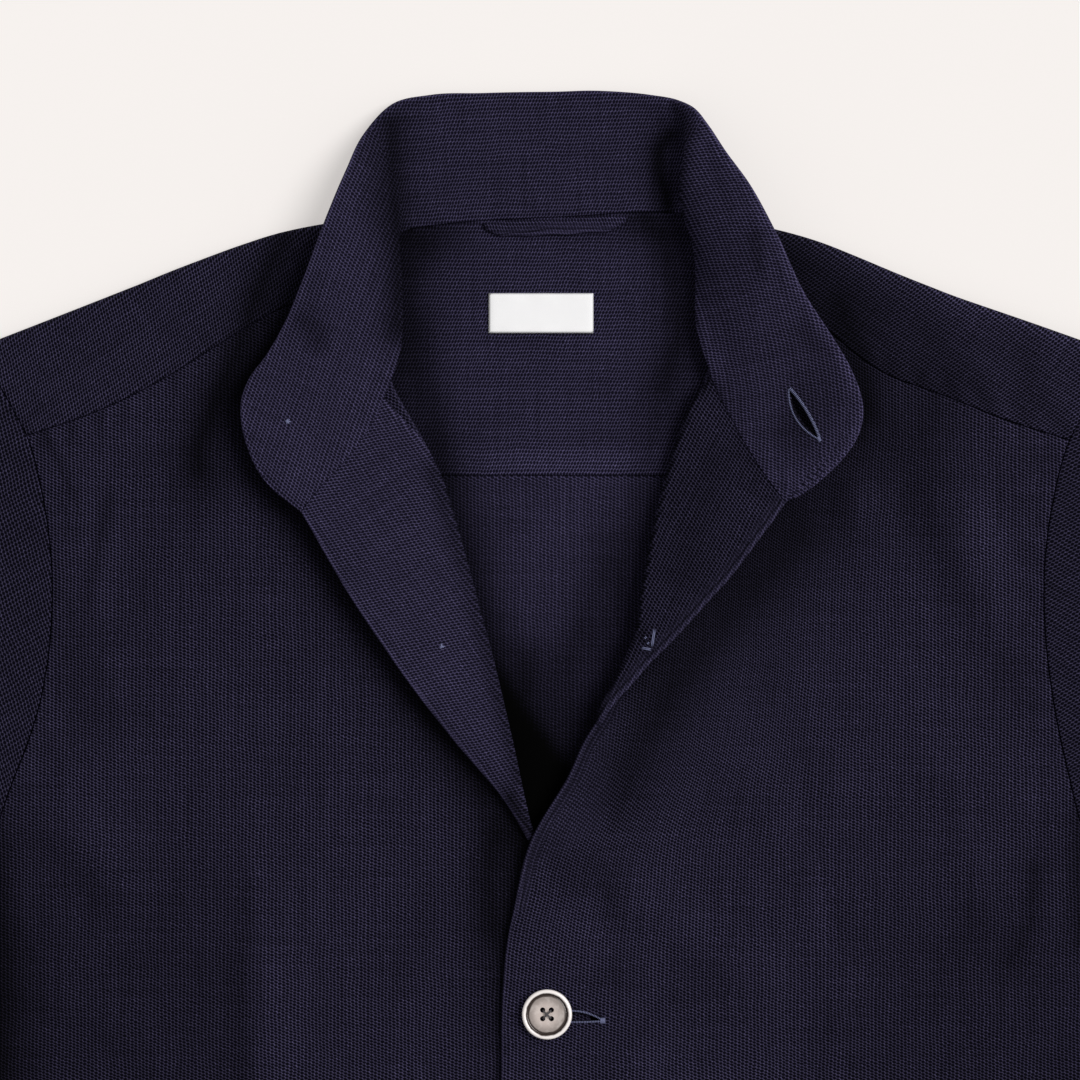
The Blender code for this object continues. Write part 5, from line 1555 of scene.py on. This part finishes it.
def turn_button():
    """A button at the origin: a disc drawn up ring by ring, then drilled."""
    size = bpy.context.scene.jacket_buttons
    scale = size.radius / .010
    lift = size.thickness / .003
    clear_selection()
    bpy.ops.mesh.primitive_circle_add(vertices=96, radius=BUTTON_PROFILE[0][0] * scale,
                                      fill_type="NGON")
    button = bpy.context.active_object
    bpy.ops.object.mode_set(mode="EDIT")
    bpy.ops.mesh.select_all(action="SELECT")
    for (radius, height), (wider, higher) in zip(BUTTON_PROFILE, BUTTON_PROFILE[1:]):
        bpy.ops.mesh.extrude_region_move(
            TRANSFORM_OT_translate={"value": (0, 0, (higher - height) * lift)})
        ratio = wider / radius
        bpy.ops.transform.resize(value=(ratio, ratio, 1), center_override=(0, 0, 0))
    bpy.ops.mesh.poke()
    bpy.ops.mesh.select_all(action="SELECT")
    bpy.ops.mesh.normals_make_consistent(inside=False)
    bpy.ops.object.mode_set(mode="OBJECT")
    for x in (-1, 1):
        for y in (-1, 1):
            drill_hole(button, x * BUTTON_HOLE_OFFSET * scale, y * BUTTON_HOLE_OFFSET * scale,
                       BUTTON_HOLE_RADIUS * scale)
    clear_selection()
    button.select_set(True)
    bpy.context.view_layer.objects.active = button
    bpy.ops.object.shade_smooth_by_angle(angle=math.radians(38))
    layer = button.data.uv_layers.active or button.data.uv_layers.new(name="face")
    layer.name = "face"
    spots = [button.data.vertices[loop.vertex_index].co for loop in button.data.loops]
    layer.data.foreach_set("uv", np.array([(p.x, p.y) for p in spots], np.float32).ravel())
    return button


def drill_hole(button, x, y, radius):
    clear_selection()
    bpy.ops.mesh.primitive_cylinder_add(vertices=24, radius=radius, depth=.02,
                                        location=(x, y, 0))
    cut_away(button, bpy.context.active_object)


def tube(line, radius):
    """Points and faces of a closed thread along a line, with round ends."""
    line = np.array(line, float)
    along = np.gradient(line, axis=0)
    along /= np.maximum(np.linalg.norm(along, axis=1, keepdims=True), 1e-12)
    helper = np.array([0, 0, 1.0]) if abs(along[:, 2]).max() < .9 else np.array([1.0, .2, 0])
    over = np.cross(along, helper)
    over /= np.maximum(np.linalg.norm(over, axis=1, keepdims=True), 1e-12)
    up = np.cross(over, along)
    sides = THREAD_SIDES
    turns = np.linspace(0, 2 * math.pi, sides, endpoint=False)
    share = np.ones(len(line)) * radius
    share[0] = share[-1] = radius * .45
    turns = turns[None, :, None]
    ring = over[:, None] * np.cos(turns) + up[:, None] * np.sin(turns)
    points = (line[:, None] + ring * share[:, None, None]).reshape(-1, 3)
    faces = [(r + c, r + sides + c, r + sides + (c + 1) % sides, r + (c + 1) % sides)
             for r in range(0, (len(line) - 1) * sides, sides) for c in range(sides)]
    faces.append(tuple(range(sides)))
    faces.append(tuple(range(len(points) - 1, len(points) - 1 - sides, -1)))
    return points, faces


def thread_piece(name, lines, radius, material):
    """One piece of sewing from many short threads, in millimetres."""
    points, faces = [], []
    for line in lines:
        made, rings = tube(line, radius)
        faces += [tuple(i + len(points) for i in ring) for ring in rings]
        points += made.tolist()
    mesh = solid_mesh(name, [(x * MM, y * MM, z * MM) for x, y, z in points], faces)
    mesh.shade_smooth()
    return finish_piece(link_new(name, mesh), [material])


def surface_of(names):
    """A finder of the highest point, in millimetres, of the named pieces above a place."""
    trees = []
    for name in names:
        mesh = bpy.data.objects[name].data
        trees.append(BVHTree.FromPolygons([v.co.copy() for v in mesh.vertices],
                                          [tuple(p.vertices) for p in mesh.polygons]))

    def find(x, y):
        for reach in (0, .6, 1.2, 1.8, 2.6):
            hits = []
            for turn in np.radians(np.arange(0, 360, 45 if reach else 360)):
                spot = Vector(((x + reach * math.cos(turn)) * MM,
                               (y + reach * math.sin(turn)) * MM, .2))
                hits += [tree.ray_cast(spot, Vector((0, 0, -1)))[0] for tree in trees]
            hits = [hit.z for hit in hits if hit is not None]
            if hits:
                return max(hits) / MM
        raise RuntimeError(f"no cloth under the sewing at {x:.1f}, {y:.1f}")
    return find


def hole_outline(start, end, bulge_left, bulge_right, count=40):
    """Left and right sides of an almond between two ends, in the plane."""
    start, end = np.array(start, float), np.array(end, float)
    along = end - start
    side = np.array([-along[1], along[0]]) / np.linalg.norm(along)
    shares = np.linspace(0, 1, count)
    belly = np.sin(math.pi * shares) ** .8
    return [start + along * shares[:, None] + side * (belly * bulge)[:, None]
            for bulge in (bulge_left, -bulge_right)]


def buttonhole(name, cloth, start, end, bulge_left, bulge_right, reaches, tack=1.0):
    """Worked buttonhole: short stitches over both lips of the slit, and a bar at its outer end."""
    find = surface_of(cloth)
    left, right = hole_outline(start, end, bulge_left, bulge_right)
    lines = []
    for lip, outward, reach in ((left, 1, reaches[0]), (right, -1, reaches[1])):
        lengths = running_length(lip)
        count = max(4, int(lengths[-1] / STITCH_PITCH))
        for i in range(count + 1):
            spot = along_line(lip, lengths, lengths[-1] * i / count)
            ahead = along_line(lip, lengths, min(lengths[-1], lengths[-1] * i / count + .3))
            behind = along_line(lip, lengths, max(0, lengths[-1] * i / count - .3))
            run = (ahead - behind) / max(np.linalg.norm(ahead - behind), 1e-6)
            out = np.array([-run[1], run[0]]) * outward
            slant = run * .12 * math.sin(2.3 * i)
            outer = spot + (out + slant) * reach * (1 + .1 * math.sin(1.7 * i))
            level = find(*(outer + out * .1))
            lines.append([(*(outer + out * .12), level - .18), (*outer, level + .10),
                          (*(spot + out * reach * .45), level + .24), (*spot, level + .14),
                          (*(spot - out * .1), level - .3)])
    bar_way = np.array(end, float) - np.array(start, float)
    bar_way /= np.linalg.norm(bar_way)
    out = np.array([-bar_way[1], bar_way[0]])
    for i in range(5):
        spot = np.array(end, float) + bar_way * (i * .38 - .3)
        level = find(*spot)
        lines.append([(*(spot + out * tack * share), level + lift)
                      for share, lift in TACK_PROFILE])
    return thread_piece(name, lines, .25, "buttonhole_thread")


def cut_slit(piece, start, end, bulge_left, bulge_right):
    """Cuts the open slit of a buttonhole through a cloth piece."""
    left, right = hole_outline(start, end, bulge_left, bulge_right, 24)
    outline = np.concatenate([left, right[::-1][1:-1]]) * MM
    count = len(outline)
    points = [(x, y, z) for z in (0, .05) for x, y in outline]
    faces = [tuple(range(count))[::-1], tuple(range(count, 2 * count))]
    faces += [(i, (i + 1) % count, count + (i + 1) % count, count + i) for i in range(count)]
    cut_away(piece, link_new("slit", solid_mesh("slit", points, faces)))


def place_button(master, name, node, spot, level, face):
    """A copy of the turned button, turned to its face and set at its place in the mesh."""
    mesh = master.data.copy()
    mesh.name = name
    turn = Vector((0, 0, 1)).rotation_difference(Vector(face)).to_matrix().to_4x4()
    mesh.transform(Matrix.Translation((spot[0] * MM, spot[1] * MM, level * MM)) @ turn)
    return finish_piece(link_new(name, mesh), ["button_shell"], node)


def button_thread(name, spot, level, face, seed):
    """Crossed threads through the four holes and the short shank under the button."""
    turn = Vector((0, 0, 1)).rotation_difference(Vector(face)).to_matrix()
    offset = BUTTON_HOLE_OFFSET / MM
    lines = []
    for way in (1, -1):
        for strand in (-1, 0, 1):
            line = []
            for share in np.linspace(-1, 1, 11):
                x = offset * share + strand * .17 * way
                y = offset * share * way - strand * .17
                lift = 2.25 + .28 * math.cos(share * math.pi / 2) + .16 * (way > 0) \
                    - 1.1 * smooth_step(.78, 1.0, abs(share)) + .04 * math.sin(seed + strand)
                line.append((x, y, lift))
            lines.append(line)
    for i in range(10):
        turns = math.radians(36 * i)
        x, y = 1.1 * math.cos(turns), 1.1 * math.sin(turns)
        lines.append([(x, y, .6), (x * 1.05, y * 1.05, .1), (x * 1.25, y * 1.25, -.75)])
    placed = []
    for line in lines:
        placed.append([tuple(turn @ Vector(p) + Vector((*spot, level))) for p in line])
    return thread_piece(name, placed, .15, "sewing_thread")


def hole_end(name, cloth, runs):
    """Threads laid close beside each other along short runs."""
    find = surface_of(cloth)
    lines = []
    for start, end in runs:
        start, end = np.array(start), np.array(end)
        way = (end - start) / np.linalg.norm(end - start)
        over = np.array([-way[1], way[0]])
        for shift in (-.28, .28):
            spots = [start + (end - start) * share + over * shift for share in (0, .2, .5, .8, 1)]
            lines.append([(*spot, find(*spot) + .2 - .3 * (i in (0, 4)))
                          for i, spot in enumerate(spots)])
    return thread_piece(name, lines, .22, "buttonhole_thread")


def sewn_mark(name, cloth, spot, seed):
    """Small crossed stitches where the button on the other side is sewn through."""
    find = surface_of(cloth)
    lines = []
    for i, angle in enumerate(np.radians((20 + seed, 75 + seed, 128 + seed, 160 + seed))):
        way = np.array([math.cos(angle), math.sin(angle)])
        middle = np.array(spot) + .35 * np.array([math.sin(seed + i), math.cos(2 * seed + i)])
        line = []
        for share in (-1, -.6, 0, .6, 1):
            point = middle + way * 1.15 * share
            line.append((*point, find(*point) + .22 - .5 * share * share))
        lines.append(line)
    return thread_piece(name, lines, .24, "buttonhole_thread")


# Operators ------------------------------------

class JACKET_OT_finishes(bpy.types.Operator):
    """Build the finishes of the cloth, label, threads and buttons"""
    bl_idname = "jacket.finishes"
    bl_label = "Finishes"

    def execute(self, context):
        build_materials()
        return {"FINISHED"}


class JACKET_OT_back(bpy.types.Operator):
    """Lay the back panel and the double yoke"""
    bl_idname = "jacket.back"
    bl_label = "Back and Yoke"

    def execute(self, context):
        step = context.scene.jacket_cloth.grid / MM
        sew("back_panel", [back_part(step)], ["navy_pique_inside"], "back")
        sew("yoke_panel", yoke_parts(step), ["navy_pique_lit", "navy_pique"],
            "yoke")
        return {"FINISHED"}


class JACKET_OT_fronts(bpy.types.Operator):
    """Lay both fronts, the left over the right"""
    bl_idname = "jacket.fronts"
    bl_label = "Fronts"

    def execute(self, context):
        step = context.scene.jacket_cloth.grid / MM
        sew("front_panel_right", [front_part(RIGHT_FRONT_EDGE, -1, 84, step)], ["navy_pique"],
            "front_right")
        sew("front_panel_left", [front_part(LEFT_FRONT_EDGE, 1, 152, step)], ["navy_pique"],
            "front_left")
        for _, start, end, gape in FRONT_SLITS:
            cut_slit(bpy.data.objects["front_panel_left"], start, end, gape - .5, .1)
        return {"FINISHED"}


class JACKET_OT_facings(bpy.types.Operator):
    """Turn the facings out as lapels"""
    bl_idname = "jacket.facings"
    bl_label = "Facings"

    def execute(self, context):
        right = lapel_part(RIGHT_LAPEL_ROLL, RIGHT_LAPEL_EDGE, RIGHT_FRONT_EDGE, RIGHT_LAPEL_BOW,
                           34.5, .3, (1.0, 0), RIGHT_LAPEL_SHADOWS)
        left = lapel_part(LEFT_LAPEL_ROLL, LEFT_LAPEL_EDGE, LEFT_FRONT_EDGE, LEFT_LAPEL_BOW,
                          -26, .9, (0, 1.0), LEFT_LAPEL_SHADOWS)
        sew("lapel_right", [right], ["navy_pique_lit"], "facing_right")
        sew("lapel_left", [left], ["navy_pique"], "facing_left")
        return {"FINISHED"}


class JACKET_OT_collar(bpy.types.Operator):
    """Set the stand collar, its ends folded outward"""
    bl_idname = "jacket.collar"
    bl_label = "Collar"

    def execute(self, context):
        piece = sew("stand_collar", [collar_part()], ["navy_pique_lit"],
                    "collar")
        cut_slit(piece, *COLLAR_HOLE, .8, 1.9)
        return {"FINISHED"}


class JACKET_OT_sleeves(bpy.types.Operator):
    """Lay both sleeves as flattened tubes"""
    bl_idname = "jacket.sleeves"
    bl_label = "Sleeves"

    def execute(self, context):
        step = context.scene.jacket_cloth.grid / MM
        for way, side, folds in (("left", 1, LEFT_SLEEVE_FOLDS), ("right", -1, RIGHT_SLEEVE_FOLDS)):
            sew("sleeve_tube_" + way, [sleeve_part(side, folds, step)], ["navy_pique"],
                "sleeve_" + way)
        return {"FINISHED"}


class JACKET_OT_neck_pieces(bpy.types.Operator):
    """Sew in the hanger loop and the bare woven label"""
    bl_idname = "jacket.neck_pieces"
    bl_label = "Loop and Label"

    def execute(self, context):
        sew("loop_strip", [loop_part()], ["navy_pique_lit"], "hanger_loop")
        sew("woven_label", [label_part()], ["label_weave"], "neck_label")
        return {"FINISHED"}


class JACKET_OT_buttons(bpy.types.Operator):
    """Turn one button, copy it to its five places and sew it on"""
    bl_idname = "jacket.buttons"
    bl_label = "Buttons"

    def execute(self, context):
        master = turn_button()
        for i, (node, spot, level, face) in enumerate(BUTTONS):
            place_button(master, node + "_turned", node, spot, level, face)
            button_thread(node + "_thread", spot, level, face, 1.3 * i)
        bpy.data.objects.remove(master, do_unlink=True)
        return {"FINISHED"}


class JACKET_OT_buttonholes(bpy.types.Operator):
    """Work the buttonholes and the marks of the two hidden buttons"""
    bl_idname = "jacket.buttonholes"
    bl_label = "Buttonholes"

    def execute(self, context):
        buttonhole("buttonhole_collar", ["stand_collar"], *COLLAR_HOLE, 1.2, 3.5, (.85, .34),
                   tack=.55)
        for name, start, end, gape in FRONT_SLITS:
            buttonhole(name, ["front_panel_left"], start, end, gape, .45, (.42, .42))
        sewn_mark("button_mark_collar", ["stand_collar"], COLLAR_MARK, 10)
        sewn_mark("button_mark_lapel", ["lapel_right"], LAPEL_MARK, 50)
        hole_end("buttonhole_lapel", ["lapel_left"], ROLLED_HOLE)
        return {"FINISHED"}


class JACKET_OT_stage(bpy.types.Operator):
    """Set the floor, the light and the camera"""
    bl_idname = "jacket.stage"
    bl_label = "Studio"

    def execute(self, context):
        studio = context.scene.jacket_studio
        clear_selection()
        bpy.ops.mesh.primitive_plane_add(size=9, location=(0, 0, FLOOR_LEVEL))
        floor = context.active_object
        floor.name = "studio_floor"
        bpy.ops.object.transform_apply(location=True, rotation=True, scale=True)
        floor.data.materials.append(floor_material())
        lamp = bpy.data.lights.new("key", "SUN")
        lamp.energy = studio.key
        lamp.angle = math.radians(KEY_ANGLE)
        light = link_new("key", lamp)
        light.rotation_mode = "QUATERNION"
        light.rotation_quaternion = Vector(KEY_WAY).to_track_quat("Z", "Y")
        world = bpy.data.worlds.new("studio_sky")
        world.use_nodes = True
        world.node_tree.nodes["Background"].inputs[1].default_value = studio.fill
        world.node_tree.nodes["Background"].inputs[0].default_value = (1, 1, 1, 1)
        context.scene.world = world
        lens = bpy.data.cameras.new("top_view")
        lens.lens = studio.lens
        lens.sensor_width = 36
        lens.clip_end = 50
        camera = link_new("top_view", lens)
        camera.location = (VIEW_CENTRE[0] * MM, VIEW_CENTRE[1] * MM, studio.distance)
        context.scene.camera = camera
        context.scene.view_settings.view_transform = "Standard"
        return {"FINISHED"}


class JACKET_PT_panel(bpy.types.Panel):
    """Sizes, colours and building steps of the jacket"""
    bl_idname = "JACKET_PT_panel"
    bl_label = "Jacket"
    bl_space_type = "VIEW_3D"
    bl_region_type = "UI"
    bl_category = "Jacket"

    def draw(self, context):
        layout = self.layout
        for name in SETTINGS:
            settings, box = getattr(context.scene, name), layout.box()
            for choice in settings.bl_rna.properties.keys():
                if choice not in ("rna_type", "name"):
                    box.prop(settings, choice)
        for operator in OPERATORS:
            layout.operator(operator.bl_idname)


SETTINGS = {"jacket_cloth": JacketClothSettings, "jacket_buttons": JacketButtonSettings,
            "jacket_studio": JacketStudioSettings}
OPERATORS = (JACKET_OT_finishes, JACKET_OT_back, JACKET_OT_fronts, JACKET_OT_facings,
             JACKET_OT_collar, JACKET_OT_sleeves, JACKET_OT_neck_pieces, JACKET_OT_buttons,
             JACKET_OT_buttonholes, JACKET_OT_stage)
CLASSES = (*SETTINGS.values(), *OPERATORS, JACKET_PT_panel)


def register():
    for made in CLASSES:
        bpy.utils.register_class(made)
    for name, kind in SETTINGS.items():
        setattr(bpy.types.Scene, name, bpy.props.PointerProperty(type=kind))


def unregister():
    for name in SETTINGS:
        delattr(bpy.types.Scene, name)
    for made in reversed(CLASSES):
        bpy.utils.unregister_class(made)


def main():
    register()
    for operator in OPERATORS:
        family, name = operator.bl_idname.split(".")
        getattr(getattr(bpy.ops, family), name)()


if __name__ == "__main__":
    main()
